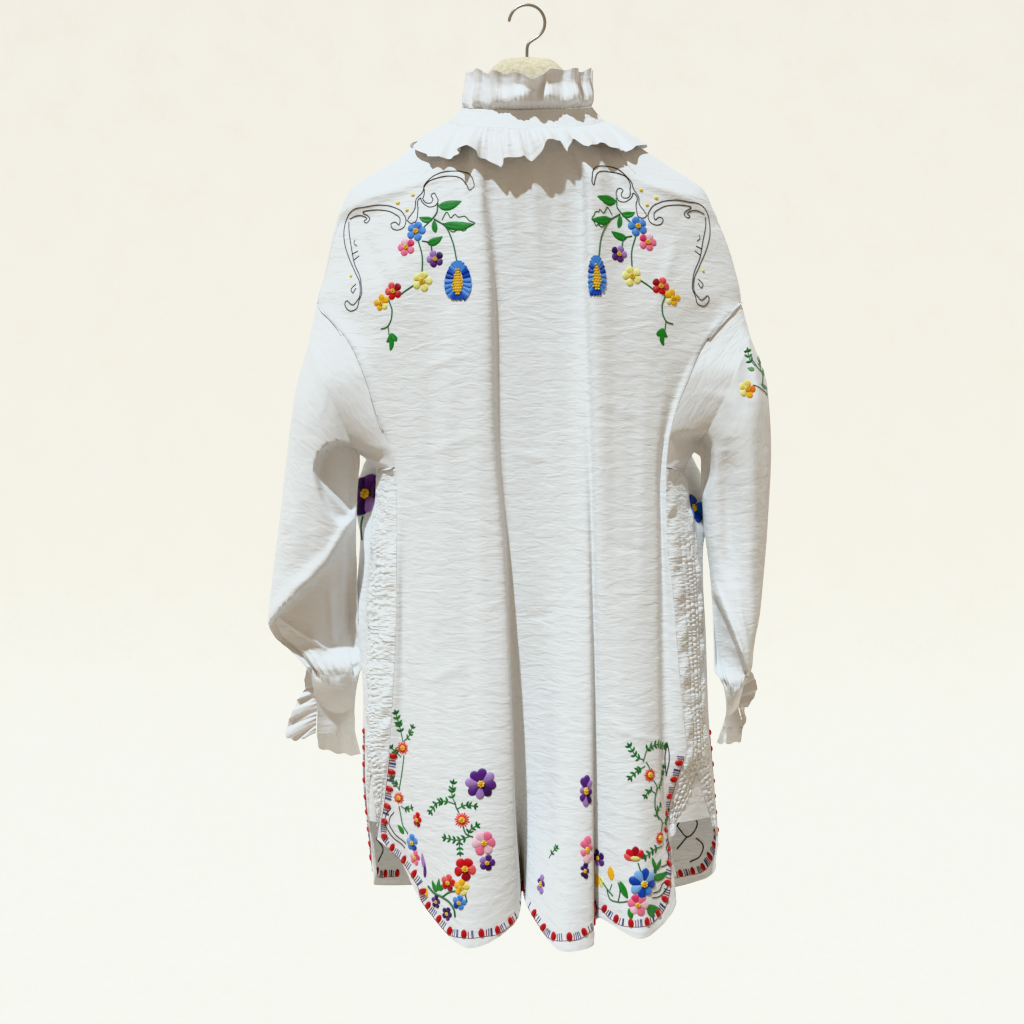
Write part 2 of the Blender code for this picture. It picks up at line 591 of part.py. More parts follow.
def blouse(x, drop, fold):
    """Depth of the cloth under the blouse fold: a step at the fold that fades out below it."""
    line = np.array(fold, float)
    order = np.argsort(line[:, 0])
    edge = np.interp(x, line[order, 0], line[order, 1])
    below = (drop - edge) * FOLD_SLOPE
    share = np.clip(below / FOLD_WIDTH + 0.5, 0, 1)
    fade = np.clip(1 - (below - FOLD_WIDTH) / BLOUSE_FADE, 0, 1)
    return BLOUSE_STEP * share * share * (3 - 2 * share) * fade


def sleeve_body(turn, down, sections, spot, fold):
    """Points of a sleeve below the armhole: turn goes round it, down runs to the cuff (1)."""
    rows = np.array(sections, float)
    place = np.linspace(0, 1, len(rows) + 1)[1:]
    span = np.maximum(down, place[0])
    value = [follow(place, rows[:, k], span) for k in range(8)]
    outer_x, outer_drop, inner_x, inner_drop, middle, behind, before, sag = value
    angle = 2 * np.pi * turn
    share = 0.5 * (1 - np.cos(angle))
    swing = np.sin(angle)
    x = outer_x + (inner_x - outer_x) * share
    drop = outer_drop + (inner_drop - outer_drop) * share + sag * swing ** 2
    y = middle - np.where(swing > 0, behind, before) * swing
    facing = np.clip(swing * 1.6, 0, 1)
    y = y + facing * (hollow(x, drop, spot) + blouse(x, drop, fold))
    near = np.clip((down - GATHER_START) / (1 - GATHER_START), 0, 1)
    gather = GATHER_SWING * near * np.sin(SLEEVE_GATHERS * angle)
    x = x + gather * np.cos(angle) * np.sign(outer_x - inner_x)
    return np.stack([x, y - gather * swing, -drop], -1)


def sleeve_grid(side, sections, spot, fold):
    """A sleeve's grid of points and outward directions, its first row on the armhole."""
    u, row = armhole_places(side)
    start, start_out = cloth(u, row)
    columns = len(u)
    first = np.linspace(0, 1, len(sections) + 1)[1]
    down = np.linspace(0, 1, SLEEVE_ROWS + 1)[:, None]
    turn = (np.arange(columns) / columns)[None, :]
    body = sleeve_body(turn + 0 * down, down + 0 * turn, sections, spot, fold)
    blend = np.clip(down / first, 0, 1)[..., None]
    blend = blend * blend * (3 - 2 * blend)
    point = start[None] * (1 - blend) + body * blend
    around = np.roll(point, -1, axis=1) - np.roll(point, 1, axis=1)
    out = unit(np.cross(np.gradient(point, axis=0), around))
    middle = point.mean(axis=1, keepdims=True)
    out *= np.sign((out * (point - middle))[1:-1].sum())
    seam = np.roll(start, -1, axis=0) - np.roll(start, 1, axis=0)
    leave = unit(np.cross(start_out, seam))
    leave *= np.sign((leave * (body[0] - start)).sum(-1, keepdims=True))
    point[0] += leave * SEAM
    out[0] = start_out
    out[-1, :, 2] = 0
    out[-1] = unit(out[-1])
    return point, out


def make_sleeve(side, sections, spot, fold, collection):
    point, out = sleeve_grid(side, sections, spot, fold)
    wall("sleeve_" + side, point, point - out * WALL, WHITE, collection, closed=True)
    return point[-1]


def loop_points(table, count):
    """A smooth open curve through the table's (x, y) points, with even steps along it."""
    points = np.array(table, float)
    t = walk(points)
    at = np.linspace(0, t[-1], count)
    return np.stack([follow(t, points[:, 0], at), follow(t, points[:, 1], at)], -1)


def curve_out(points, centre):
    """Level direction away from the loop's middle, square to the loop."""
    along = np.gradient(points, axis=0)
    out = unit(np.stack([along[:, 1], -along[:, 0]], -1))
    return out * np.sign((out * (points - centre)).sum())


def make_cuff(side, table, sleeve_end, foot, collection):
    """The open cuff band, its hem ruffle and the ruffle down its opening edge."""
    count = len(sleeve_end)
    band = loop_points(table, count)
    centre = band.mean(axis=0)
    push = np.column_stack([curve_out(band, centre), np.zeros(count)])
    top = sleeve_end - np.array([0, 0, CUFF_GAP])
    top[0], top[-1] = 0.9 * top[0] + 0.1 * top[1], 0.9 * top[-1] + 0.1 * top[-2]
    bottom = np.column_stack([band, np.full(count, -foot)])
    outer = np.stack([top, (top + bottom) / 2, bottom])
    wall("cuff_" + side, outer, outer - push[None] * WALL, WHITE, collection)

    size = CUFF_RUFFLE
    count = size["waves"] * 4 + 1
    edge = loop_points(table, count)
    out = curve_out(edge, centre)
    push = np.column_stack([out, np.zeros(count)])
    turn = np.linspace(0, 2 * np.pi, count)
    grids = []
    for reach in (0.0, 0.5, 1.0):
        swing = reach * (size["swing"] * np.sin(size["waves"] * turn) + CUFF_FLARE)
        drop = foot + SEAM + size["height"] * reach
        grids.append(np.column_stack([edge + out * swing[:, None], np.full(count, -drop)]))
    outer = np.stack(grids)
    wall("cuff_ruffle_" + side, outer, outer - push[None] * FRILL_WALL, WHITE, collection)

    size = EDGE_RUFFLE
    turn = np.linspace(0, 2 * np.pi, size["waves"] * 4 + 1)
    corner = np.array(table[0], float)
    away = unit(corner - np.array(table[1], float))
    side_way = np.array([away[1], -away[0]])
    drop = np.linspace(foot - CUFF_HEIGHT + EDGE_TOP, foot, len(turn))
    grids = []
    for reach in (0.0, 0.5, 1.0):
        swing = size["swing"] * reach * np.sin(size["waves"] * turn)
        flat = corner + away * (EDGE_GAP + size["height"] * reach) + side_way * swing[:, None]
        grids.append(np.column_stack([flat, -(drop + EDGE_SLANT * reach)]))
    outer = np.stack(grids)
    half = np.array([side_way[0], side_way[1], 0.0]) * FRILL_WALL / 2
    wall("cuff_edge_ruffle_" + side, outer + half, outer - half, WHITE, collection)


def make_hanger(collection):
    """The padded bar: rings in upright planes from one tip to the other, and its wire hook."""
    half = np.array(HANGER, float)
    mirrored = half[:0:-1] * np.array([-1, 1, 1, 1])
    rows = np.concatenate([mirrored, half])
    angle = np.linspace(0, 2 * np.pi, HANGER_SIDES, endpoint=False)
    rings = []
    for x, top, height, depth in rows:
        y = depth * np.cos(angle)
        z = -(top + height / 2) + height / 2 * np.sin(angle)
        rings.append(np.column_stack([np.full(HANGER_SIDES, x), y, z]))
    made = bmesh.new()
    loops = [[made.verts.new(p * MM) for p in one] for one in rings]
    for a, b in zip(loops, loops[1:]):
        for k in range(HANGER_SIDES):
            n = (k + 1) % HANGER_SIDES
            made.faces.new([a[k], a[n], b[n], b[k]])
    made.faces.new(loops[0])
    made.faces.new(loops[-1])
    bmesh.ops.recalc_face_normals(made, faces=made.faces)
    add_mesh("hanger_bar", made, CREAM, collection)

    curve = bpy.data.curves.new("hanger_hook", "CURVE")
    curve.dimensions = "3D"
    curve.bevel_depth = HOOK_WIRE * MM
    curve.bevel_resolution = 2
    curve.use_fill_caps = True
    radius = HOOK_BEND + HOOK_WIRE
    foot = -HOOK_BEND - radius
    path = [(0.0, -HANGER[0][1] + SEAM), (0.0, -46.0), (3.0, foot - 1.0)]
    for degrees in range(-60, 200, 20):
        a = math.radians(degrees)
        path.append((radius * math.cos(a), -HOOK_BEND + radius * math.sin(a)))
    spline = curve.splines.new("POLY")
    spline.points.add(len(path) - 1)
    for point, (x, z) in zip(spline.points, path):
        point.co = (x * MM, 0.0, z * MM, 1.0)
    curve.materials.append(material("hanger_hook_finish", STEEL))
    hook = bpy.data.objects.new("hanger_hook", curve)
    collection.objects.link(hook)


def main():
    for old in list(bpy.data.objects):
        bpy.data.objects.remove(old, do_unlink=True)
    collection = bpy.data.collections.new("embroidered_dress_on_hanger")
    bpy.context.scene.collection.children.link(collection)
    make_back(collection)
    make_front(collection)
    for side in ("left", "right"):
        make_yoke(side, collection)
        make_side_panel(side, collection)
        make_gusset(side, collection)
    make_neckband(collection)
    make_collar_ruffle(collection)
    make_shoulder_ruffle(collection)
    left_end = make_sleeve("left", LEFT_SLEEVE, LEFT_HOLLOW, LEFT_BLOUSE, collection)
    right_end = make_sleeve("right", RIGHT_SLEEVE, RIGHT_HOLLOW, RIGHT_BLOUSE, collection)
    make_cuff("left", LEFT_CUFF, left_end, CUFF_FEET[0], collection)
    make_cuff("right", RIGHT_CUFF, right_end, CUFF_FEET[1], collection)
    make_hanger(collection)


main()
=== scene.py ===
"""Looks of the embroidered cotton dress on its padded hanger.

Each cloth piece is a fine shell worked out on a grid of two parameters, on the same fold lines
as its solid. Sizes are millimetres until a mesh is made. The dress is seen from behind at azimuth 0:
X is to the right, Y runs from the back of the dress to its front, and a drop is a depth below the
inside of the hook. Places named by pixels are pixels of the photograph's 1024 x 1024 frame.
"""
import math
from collections import namedtuple

import bpy
import numpy as np
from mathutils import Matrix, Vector


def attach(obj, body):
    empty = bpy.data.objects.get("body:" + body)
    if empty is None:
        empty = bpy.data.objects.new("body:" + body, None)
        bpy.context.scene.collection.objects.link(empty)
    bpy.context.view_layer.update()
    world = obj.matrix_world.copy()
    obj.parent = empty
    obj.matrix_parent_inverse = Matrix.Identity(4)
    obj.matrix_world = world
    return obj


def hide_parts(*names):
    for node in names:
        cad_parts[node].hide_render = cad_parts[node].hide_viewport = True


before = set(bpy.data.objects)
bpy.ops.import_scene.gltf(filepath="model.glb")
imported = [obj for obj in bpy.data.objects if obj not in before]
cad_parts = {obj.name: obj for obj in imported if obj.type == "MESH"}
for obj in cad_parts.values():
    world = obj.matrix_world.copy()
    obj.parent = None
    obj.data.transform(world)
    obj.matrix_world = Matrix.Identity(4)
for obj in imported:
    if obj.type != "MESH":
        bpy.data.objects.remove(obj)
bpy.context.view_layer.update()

MM = 0.001
PIXEL = 1.05               # millimetres to a pixel of the photograph at Y = 0
EYE = np.array([-15.75, -1400.0, -530.7])   # the camera
MIDDLE = 512.0             # middle pixel of the photograph
CLOTH = 0.7                # thickness of the cotton
SEAM = 0.3                 # gap between two pieces at a seam
TUCK = 2.4                 # depth of the cloth turned in at a seam

# Fold lines of the dress from its back's left seam, round the back and the front and home again.
# Each knot is (drop, x, y), as in the solids.
FOLD_LINES = (
    ("back_seam_left", (
        (128, -78, -13), (162, -92, -34), (186, -104, -42), (202, -145, -36), (215, -187, -14),
        (231, -198, -3), (286, -212, -2), (311, -219, -2), (327, -207, -16), (357, -183, -34),
        (396, -165, -42), (432, -154, -42), (457, -143, -42), (498, -134, -42), (542, -133, -44),
        (620, -133, -48), (721, -137, -48), (773, -141, -44), (826, -148, -34),
        (868, -155, -24))),
    ("left_roll", (
        (130, -76, -18), (184, -89, -48), (221, -132, -42), (272, -170, -30), (317, -188, -26),
        (376, -158, -44), (432, -138, -46), (498, -126, -46), (620, -126, -44), (742, -127, -46),
        (824, -129, -44), (887, -129, -40))),
    ("left_turn", (
        (135, -69, -29), (195, -81, -50), (235, -111, -50), (316, -141, -50), (397, -129, -50),
        (498, -115, -50), (640, -113, -52), (781, -113, -56), (928, -104, -58))),
    ("left_crest", (
        (138, -60, -38), (196, -64, -56), (277, -80, -58), (378, -88, -58), (498, -80, -58),
        (659, -74, -62), (797, -65, -74), (961, -57, -86))),
    ("left_ridge", (
        (141, -52, -44), (177, -54, -60), (239, -46, -66), (308, -40, -68), (439, -38, -66),
        (579, -26, -64), (719, -19, -66), (839, -15, -66), (942, -12, -62))),
    ("valley_left", (
        (143, -46, -47), (175, -45, -52), (235, -36, -50), (305, -31, -50), (438, -28, -48),
        (579, -19, -42), (724, -15, -32), (835, -12, -22), (914, -6, -6))),
    ("middle_edge", (
        (144, -38, -51), (195, -32, -50), (305, -24, -48), (437, -17, -47), (579, -5, -44),
        (720, 6, -38), (821, 5, -36), (932, 0, -48))),
    ("middle_crest", (
        (147, -8, -58), (195, 2, -54), (304, 13, -48), (438, 21, -46), (579, 29, -49),
        (738, 34, -60), (965, 35, -84))),
    ("middle_fold", (
        (145, 29, -54), (195, 47, -50), (304, 51, -46), (438, 56, -52), (579, 61, -60),
        (738, 63, -68), (962, 64, -76))),
    ("valley_right", (
        (144, 36, -52), (195, 54, -50), (304, 57, -49), (438, 62, -52), (579, 65, -54),
        (741, 67, -55), (950, 67, -50))),
    ("right_ridge", (
        (143, 43, -49), (199, 60, -66), (308, 64, -68), (439, 69, -65), (579, 72, -62),
        (740, 75, -62), (939, 73, -60))),
    ("right_crest", (
        (139, 57, -41), (197, 79, -58), (277, 93, -58), (378, 103, -58), (498, 105, -58),
        (659, 107, -62), (798, 109, -72), (953, 111, -82))),
    ("right_turn", (
        (136, 66, -33), (195, 88, -50), (235, 118, -50), (316, 146, -50), (397, 138, -48),
        (498, 129, -50), (640, 130, -52), (780, 131, -58), (945, 134, -66))),
    ("right_roll", (
        (131, 74, -22), (184, 96, -48), (221, 137, -42), (272, 175, -30), (317, 194, -26),
        (376, 164, -42), (432, 145, -40), (498, 136, -38), (621, 138, -38), (743, 140, -42),
        (823, 138, -48), (926, 150, -54))),
    ("back_seam_right", (
        (127, 78, -13), (158, 92, -34), (185, 109, -42), (201, 147, -36), (215, 186, -14),
        (231, 201, -3), (270, 215, -2), (309, 223, -2), (323, 213, -16), (360, 181, -34),
        (396, 164, -42), (432, 150, -42), (457, 144, -42), (498, 141, -42), (557, 142, -44),
        (613, 148, -46), (688, 154, -46), (742, 159, -44), (773, 162, -42), (810, 152, -38),
        (841, 145, -36), (861, 146, -38), (901, 151, -40))),
    ("right_side", (
        (122, 81, 0), (146, 115, 0), (170, 152, 0), (194, 187, 2), (214, 196, 3), (231, 203, 4),
        (270, 217, 4), (309, 225, 4), (331, 212, 8), (360, 190, 8), (432, 165, 0), (480, 159, -10),
        (520, 160, -20), (560, 166, -22), (640, 171, -26), (720, 174, -28), (773, 176, -28),
        (800, 175, -24), (851, 174, -18))),
    ("front_seam_right", (
        (124, 78, 12), (158, 98, 34), (190, 124, 36), (231, 158, 32), (258, 173, 28),
        (286, 193, 22), (309, 219, 12), (323, 211, 22), (360, 183, 34), (396, 167, 38),
        (432, 158, 34), (480, 166, 20), (520, 172, 8), (560, 178, 0), (640, 184, -6),
        (742, 186, -10), (773, 189, -8), (810, 194, -2), (841, 197, 4), (880, 202, 8),
        (905, 200, 14))),
    ("front_right_roll", (
        (128, 75, 22), (190, 104, 42), (250, 134, 40), (320, 172, 36), (396, 152, 44),
        (480, 158, 44), (560, 178, 26), (640, 187, 14), (742, 191, 8), (810, 196, 12),
        (860, 200, 20), (925, 193, 34))),
    ("front_right", (
        (140, 60, 34), (200, 84, 50), (320, 112, 50), (480, 116, 58), (640, 126, 66),
        (800, 134, 72), (950, 138, 78))),
    ("front_right_valley", (
        (152, 40, 44), (220, 52, 50), (320, 62, 46), (480, 66, 50), (640, 70, 56), (800, 72, 62),
        (952, 74, 70))),
    ("front_middle", (
        (162, 0, 52), (240, 0, 56), (320, 0, 54), (480, 0, 60), (640, 0, 68), (800, 0, 76),
        (946, 0, 84))),
    ("front_left_valley", (
        (152, -40, 44), (220, -52, 50), (320, -62, 46), (480, -66, 50), (640, -70, 56),
        (800, -72, 64), (944, -74, 74))),
    ("front_left", (
        (140, -60, 34), (200, -84, 50), (320, -112, 50), (480, -112, 58), (640, -120, 64),
        (800, -126, 66), (940, -128, 62))),
    ("front_left_roll", (
        (128, -75, 22), (190, -102, 42), (250, -132, 40), (320, -168, 36), (396, -150, 44),
        (480, -150, 44), (560, -158, 28), (640, -166, 18), (742, -172, 8), (800, -173, 10),
        (860, -169, 16), (928, -162, 20))),
    ("front_seam_left", (
        (124, -78, 12), (158, -96, 34), (190, -122, 36), (231, -156, 32), (258, -172, 28),
        (287, -192, 22), (311, -217, 12), (327, -206, 22), (357, -185, 34), (396, -167, 38),
        (432, -158, 34), (480, -158, 20), (520, -160, 6), (560, -163, -2), (640, -166, -10),
        (742, -166, -20), (800, -166, -18), (860, -164, -8), (915, -160, 4))),
    ("left_side", (
        (122, -81, 0), (146, -115, 0), (170, -152, 0), (194, -187, 2), (214, -196, 3),
        (231, -202, 4), (286, -214, 4), (311, -221, 4), (335, -206, 8), (360, -186, 6),
        (432, -166, 0), (480, -152, -10), (520, -151, -18), (560, -153, -24), (640, -156, -28),
        (720, -158, -34), (773, -159, -36), (800, -160, -32), (860, -162, -20))))
LINE = {row[0]: index for index, row in enumerate(FOLD_LINES)}
LINES = len(FOLD_LINES)
ROW_DROPS = (
    170, 186, 202, 215, 231, 258, 285, 311, 340, 369, 398, 427, 456, 486, 538, 590, 642, 695, 748, 800,
    825, 850)
NECK_ROWS = 2
HEM_ROWS = 2
FOOT_ROW = NECK_ROWS + len(ROW_DROPS) - 1
LAST_ROW = FOOT_ROW + HEM_ROWS
TIP_ROW = NECK_ROWS + ROW_DROPS.index(311)
ARM_ROW = NECK_ROWS + ROW_DROPS.index(486)
SLIT_ROW = NECK_ROWS + ROW_DROPS.index(800)
NECK_SLIT_ROW = NECK_ROWS + ROW_DROPS.index(427)   # foot of the neck slit at the front
CASING = 0.3               # width of a slit casing at its foot, in fold lines
FRONT_GAP = 0.04           # half the front opening, in fold lines

NECK_STAND = 24            # height of the neckband at the centre back
NECK_FRONT = 16            # and at the front
NECK_DEPTH = 58            # how far behind the middle the centre back lies
NECK_TAPER = 0.83          # width of the neckband's top against its bottom

# Sleeves from the armhole down to the cuff: (x and drop of the outer edge, x and drop of the inner
# edge, middle y, depth behind the middle, depth before it, sag).
SLEEVE = dict(
    left=(
        (-229, 353, -176, 470, 2, 38, 34, 0),
        (-243, 402, -176, 478, 4, 40, 36, 0),
        (-253, 472, -179, 512, 6, 38, 34, 0),
        (-261, 542, -180, 556, 6, 36, 32, 0),
        (-268, 594, -180, 600, 8, 34, 30, 0),
        (-273, 646, -178, 646, 8, 34, 30, 0),
        (-267, 662, -176, 668, 8, 34, 28, 2),
        (-250, 676, -175, 680, 8, 30, 26, 6),
        (-231, 695, -174, 690, 8, 24, 22, 10)),
    right=(
        (234, 345, 176, 468, 2, 38, 34, 0),
        (253, 402, 183, 474, 4, 40, 36, 0),
        (257, 472, 184, 498, 6, 36, 34, 0),
        (254, 542, 187, 545, 8, 32, 32, 0),
        (250, 594, 193, 594, 8, 30, 30, 0),
        (245, 640, 196, 640, 6, 30, 28, 0),
        (240, 662, 197, 672, 4, 30, 28, 2),
        (235, 690, 198, 694, 2, 28, 26, 6),
        (229, 702, 205, 706, 0, 26, 26, 8)))
# Underarm hollows: (drop, x of the left edge, x of the right edge), then their depths.
HOLLOW = dict(
    left=(
        (457, -194, -192), (463, -206, -178), (472, -216, -164), (489, -220, -158), (510, -216, -158),
        (530, -208, -166), (538, -202, -178), (545, -197, -188)),
    right=(
        (440, 172, 174), (448, 160, 184), (462, 155, 192), (486, 155, 195), (510, 158, 190),
        (526, 170, 176)))
# Ridge of cloth that crosses a hollow: (drop, x). Left of it the hollow is a shallow leaf.
HOLLOW_RIDGE = dict(
    left=((486, -222), (496, -214), (508, -206), (523, -194), (535, -184), (545, -178)),
    right=((440, 150), (530, 150)))
LEAF_SHARE = 0.55          # how much shallower the leaf is than the rest
HOLLOW_DEPTH = dict(left=24, right=22)
# The fold where a sleeve blouses over its cuff: (x, drop) along it.
BLOUSE = dict(
    left=((-175, 524), (-186, 552), (-206, 586), (-226, 606), (-250, 628), (-272, 650)),
    right=((180, 560), (186, 600), (200, 626), (212, 656), (224, 690), (232, 706)))
BLOUSE_STEP = 13           # how deep the cloth steps in at that fold
BLOUSE_SLOPE = 0.40         # how much it leans in for each millimetre below
BLOUSE_LONG = 66           # how far below its fold the cloth keeps leaning in
# The foot of each cuff, round from its opening's outer end: (x, y).
CUFF = dict(
    left=((-227, 41), (-209, 43), (-195, 48), (-187, 53), (-194, 59), (-210, 63), (-228, 53)),
    right=((233, 36), (225, 35), (217, 38), (213, 45), (217, 53), (225, 58), (233, 50)))
# Outer edges of the frills down the cuff openings: (x, drop) from top to foot.
CUFF_EDGE = dict(
    left=(
        (-235, 699), (-238, 710), (-237, 719), (-245, 731), (-251, 744), (-256, 756), (-260, 770),
        (-255, 777), (-246, 778), (-236, 774)),
    right=(
        (229, 696), (243, 706), (247, 720), (244, 731), (234, 744), (236, 754), (231, 764), (230, 776),
        (228, 781)))
CUFF_FEET = dict(left=770, right=762)   # drop of each cuff's foot
CUFF_FLAP = dict(left=12, right=5)   # how much longer a cuff's frill is in its middle
CUFF_HEIGHT = 52           # middle of a cuff is half of this above its foot
CUFF_LEAN = 0.8            # how far a cuff's frill swings away from the eye for each millimetre down

# Right half of the padded bar: (x, drop of its top, height, depth) from its middle to its tip.
HANGER = (
    (0, 53, 66, 17), (22, 55, 68, 17), (38, 66, 66, 16), (50, 88, 52, 15), (62, 109, 40, 14),
    (80, 128, 28, 13), (115, 151, 24, 12), (148, 174, 20, 10), (172, 192, 16, 7), (184, 204, 8, 4))
HOOK_WIRE = 1.75           # half the wire's thickness
HOOK_BEND = 17             # inside radius of the hook's bend
HOOK_STEM = ((0, -53.0), (0, -46.0), (0.9, -40.5), (3.8, -36.9))   # (x, z) up to the bend

FIRST_ROW = 0.02           # the panels start this share of a row inside the neckline
FRILL_CLOTH = 0.5          # thickness of the finer cotton of the frills
FRONT_COLUMNS = 60         # columns of each half of the front
STRIP_COLUMNS = 21         # columns of each half of a shirred strip
HEM_TURN = 8.5             # depth of the cloth turned up at the hem
EDGES = dict(top=(0, 0), foot=(0, -1), left=(1, 0), right=(1, -1))   # axis and end of a grid's edges

Grid = namedtuple("Grid", "point out uv")


def slopes(t, v):
    """Slopes of a smooth curve through the knots that never overshoots them (harmonic means)."""
    step = np.diff(t)
    rise = np.diff(v) / step
    slope = np.empty_like(v)
    slope[0], slope[-1] = rise[0], rise[-1]
    same = rise[:-1] * rise[1:] > 0
    mean = 3 * (step[:-1] + step[1:])
    with np.errstate(divide="ignore", invalid="ignore"):
        inner = mean / ((2 * step[1:] + step[:-1]) / rise[:-1] + (step[1:] + 2 * step[:-1]) / rise[1:])
    slope[1:-1] = np.where(same, inner, 0.0)
    return slope


def cubic(s, span, start, end, slope, last_slope):
    """Smooth cubic at share s of a span, from its values and its slopes at both ends."""
    return ((1 + 2 * s) * (1 - s) ** 2 * start + s * (1 - s) ** 2 * span * slope
            + s * s * (3 - 2 * s) * end + s * s * (s - 1) * span * last_slope)


def follow(t, v, at):
    """Value of the smooth cubic through the knots (t, v) at each place; level beyond the ends."""
    t, v = np.asarray(t, float), np.asarray(v, float)
    at = np.clip(at, t[0], t[-1])
    k = np.clip(np.searchsorted(t, at, side="right") - 1, 0, len(t) - 2)
    span = t[k + 1] - t[k]
    slope = slopes(t, v)
    return cubic((at - t[k]) / span, span, v[k], v[k + 1], slope[k], slope[k + 1])


def smooth(share):
    """Smooth step: 3 s^2 - 2 s^3 of the share held between 0 and 1."""
    share = np.clip(share, 0, 1)
    return share * share * (3 - 2 * share)


def unit(vector):
    """The vectors at length one."""
    return vector / np.maximum(np.linalg.norm(vector, axis=-1, keepdims=True), 1e-9)


def run_length(points, axis):
    """Distance walked along an axis of a grid of points, from zero."""
    step = np.linalg.norm(np.diff(points, axis=axis), axis=-1)
    start = np.zeros_like(np.take(step, [0], axis=axis))
    return np.concatenate([start, np.cumsum(step, axis=axis)], axis=axis)


TABLE_TOP, TABLE_FOOT = 110, 990
TABLE_DROPS = np.arange(TABLE_TOP, TABLE_FOOT + 1.0)
LINE_TABLE = np.stack([
    np.stack([follow(np.array(knots)[:, 0], np.array(knots)[:, k], TABLE_DROPS) for k in (1, 2)], -1)
    for _, knots in FOLD_LINES])


def line_place(which, drop):
    """(x, y) of fold lines at drops, read from their table with straight steps of one millimetre."""
    place = np.clip(drop - TABLE_TOP, 0, len(TABLE_DROPS) - 1.001)
    low = np.floor(place).astype(int)
    share = (place - low)[..., None]
    return LINE_TABLE[which, low] * (1 - share) + LINE_TABLE[which, low + 1] * share


def ring(u, drop):
    """Points of the dress at place u round the fold lines and at a drop.

    A centripetal cubic runs through the two nearest lines on each side: its knots are spaced by
    the root of the distance between lines, so that the cloth neither loops nor kinks.
    """
    u, drop = np.broadcast_arrays(np.asarray(u, float), np.asarray(drop, float))
    k = np.floor(u).astype(int)
    f = u - k
    a, b, c, d = (line_place((k + offset) % LINES, drop) for offset in (-1, 0, 1, 2))
    t1 = np.sqrt(np.linalg.norm(b - a, axis=-1)) + 0.05
    t2 = t1 + np.sqrt(np.linalg.norm(c - b, axis=-1)) + 0.05
    t3 = t2 + np.sqrt(np.linalg.norm(d - c, axis=-1)) + 0.05
    t = (t1 + f * (t2 - t1))[..., None]
    t1, t2, t3 = t1[..., None], t2[..., None], t3[..., None]
    p1 = (t1 - t) / t1 * a + t / t1 * b
    p2 = (t2 - t) / (t2 - t1) * b + (t - t1) / (t2 - t1) * c
    p3 = (t3 - t) / (t3 - t2) * c + (t - t2) / (t3 - t2) * d
    q1 = (t2 - t) / t2 * p1 + t / t2 * p2
    q2 = (t3 - t) / (t3 - t1) * p2 + (t - t1) / (t3 - t1) * p3
    xy = (t2 - t) / (t2 - t1) * q1 + (t - t1) / (t2 - t1) * q2
    return np.concatenate([xy, -drop[..., None]], -1)


def along_lines(u, last):
    """Drop of the neckline or the hem at place u, smooth from line to line."""
    u = np.asarray(u, float)
    reach = np.arange(math.floor(u.min()) - 2, math.ceil(u.max()) + 3)
    ends = [FOLD_LINES[i % LINES][1][-1 if last else 0][0] for i in reach]
    return follow(reach, ends, u)


def row_drop(u, row):
    """Drop of a row at place u: level rows between the neck rows and the hem rows."""
    row = np.clip(row, 0, LAST_ROW)
    top = along_lines(u, False)
    hem = along_lines(u, True)
    neck = top + (ROW_DROPS[0] - top) * row / NECK_ROWS
    level = np.interp(row - NECK_ROWS, np.arange(len(ROW_DROPS)), ROW_DROPS)
    foot = ROW_DROPS[-1] + (hem - ROW_DROPS[-1]) * (row - FOOT_ROW) / HEM_ROWS
    return np.where(row < NECK_ROWS, neck, np.where(row > FOOT_ROW, foot, level))


def dress(u, row):
    """Points of the dress at place u and row."""
    u, row = np.broadcast_arrays(np.asarray(u, float), np.asarray(row, float))
    return ring(u, row_drop(u, row))


def outward(point, closed=False):
    """Outward direction of a grid: its downward slope crossed with its slope to the right."""
    down = np.gradient(point, axis=0)
    if closed:
        across = np.roll(point, -1, axis=1) - np.roll(point, 1, axis=1)
    else:
        across = np.gradient(point, axis=1)
    return unit(np.cross(down, across))


def even_rows(first, last, count, u):
    """Rows that make even drops between two rows, measured at place u."""
    dense = np.linspace(first, last, 600)
    drops = row_drop(np.full(dense.shape, float(u)), dense)
    return np.interp(np.linspace(drops[0], drops[-1], count), drops, dense)


def patch(first, last, rows, columns, gap=SEAM / 2):
    """Grid on the dress between places first and last, its columns evenly spaced along each row."""
    first = np.broadcast_to(np.asarray(first, float), rows.shape)
    last = np.broadcast_to(np.asarray(last, float), rows.shape)
    dense = np.linspace(0, 1, 30 * int(math.ceil((last - first).max())) + 1)
    u = first[:, None] + (last - first)[:, None] * dense
    walked = run_length(dress(u, rows[:, None]), 1)
    share = np.stack([np.interp(np.linspace(gap, way[-1] - gap, columns), way, dense) for way in walked])
    return first[:, None] + (last - first)[:, None] * share


def cloth_uv(point):
    """Flat coordinates of the cloth in metres: walked across from the middle, and down it."""
    across = run_length(point, 1)
    middle = point.shape[1] // 2
    across = across - across[:, middle:middle + 1]
    down = run_length(point[:, middle:middle + 1], 0) + 0 * across
    return np.stack([across, -down], -1) * MM


def make_grid(point, closed=False):
    """A grid with its outward directions and flat coordinates."""
    if closed:
        ring_point = np.concatenate([point, point[:, :1]], axis=1)
        return Grid(point, outward(point, True), cloth_uv(ring_point))
    return Grid(point, outward(point), cloth_uv(point))


def crease(point, x0, drop0, x1, drop1, width, depth):
    """Height of one crease: depth e^-(d/width)^2 at distance d from its line, fading at both ends."""
    line = np.array([x1 - x0, drop1 - drop0])
    place = np.stack([point[..., 0] - x0, -point[..., 2] - drop0], -1)
    t = np.clip(place @ line / (line @ line), 0, 1)
    d = np.linalg.norm(place - t[..., None] * line, axis=-1)
    return depth * np.exp(-(d / width) ** 2) * np.sqrt(np.sin(np.pi * np.clip(t, 0.02, 0.98)))


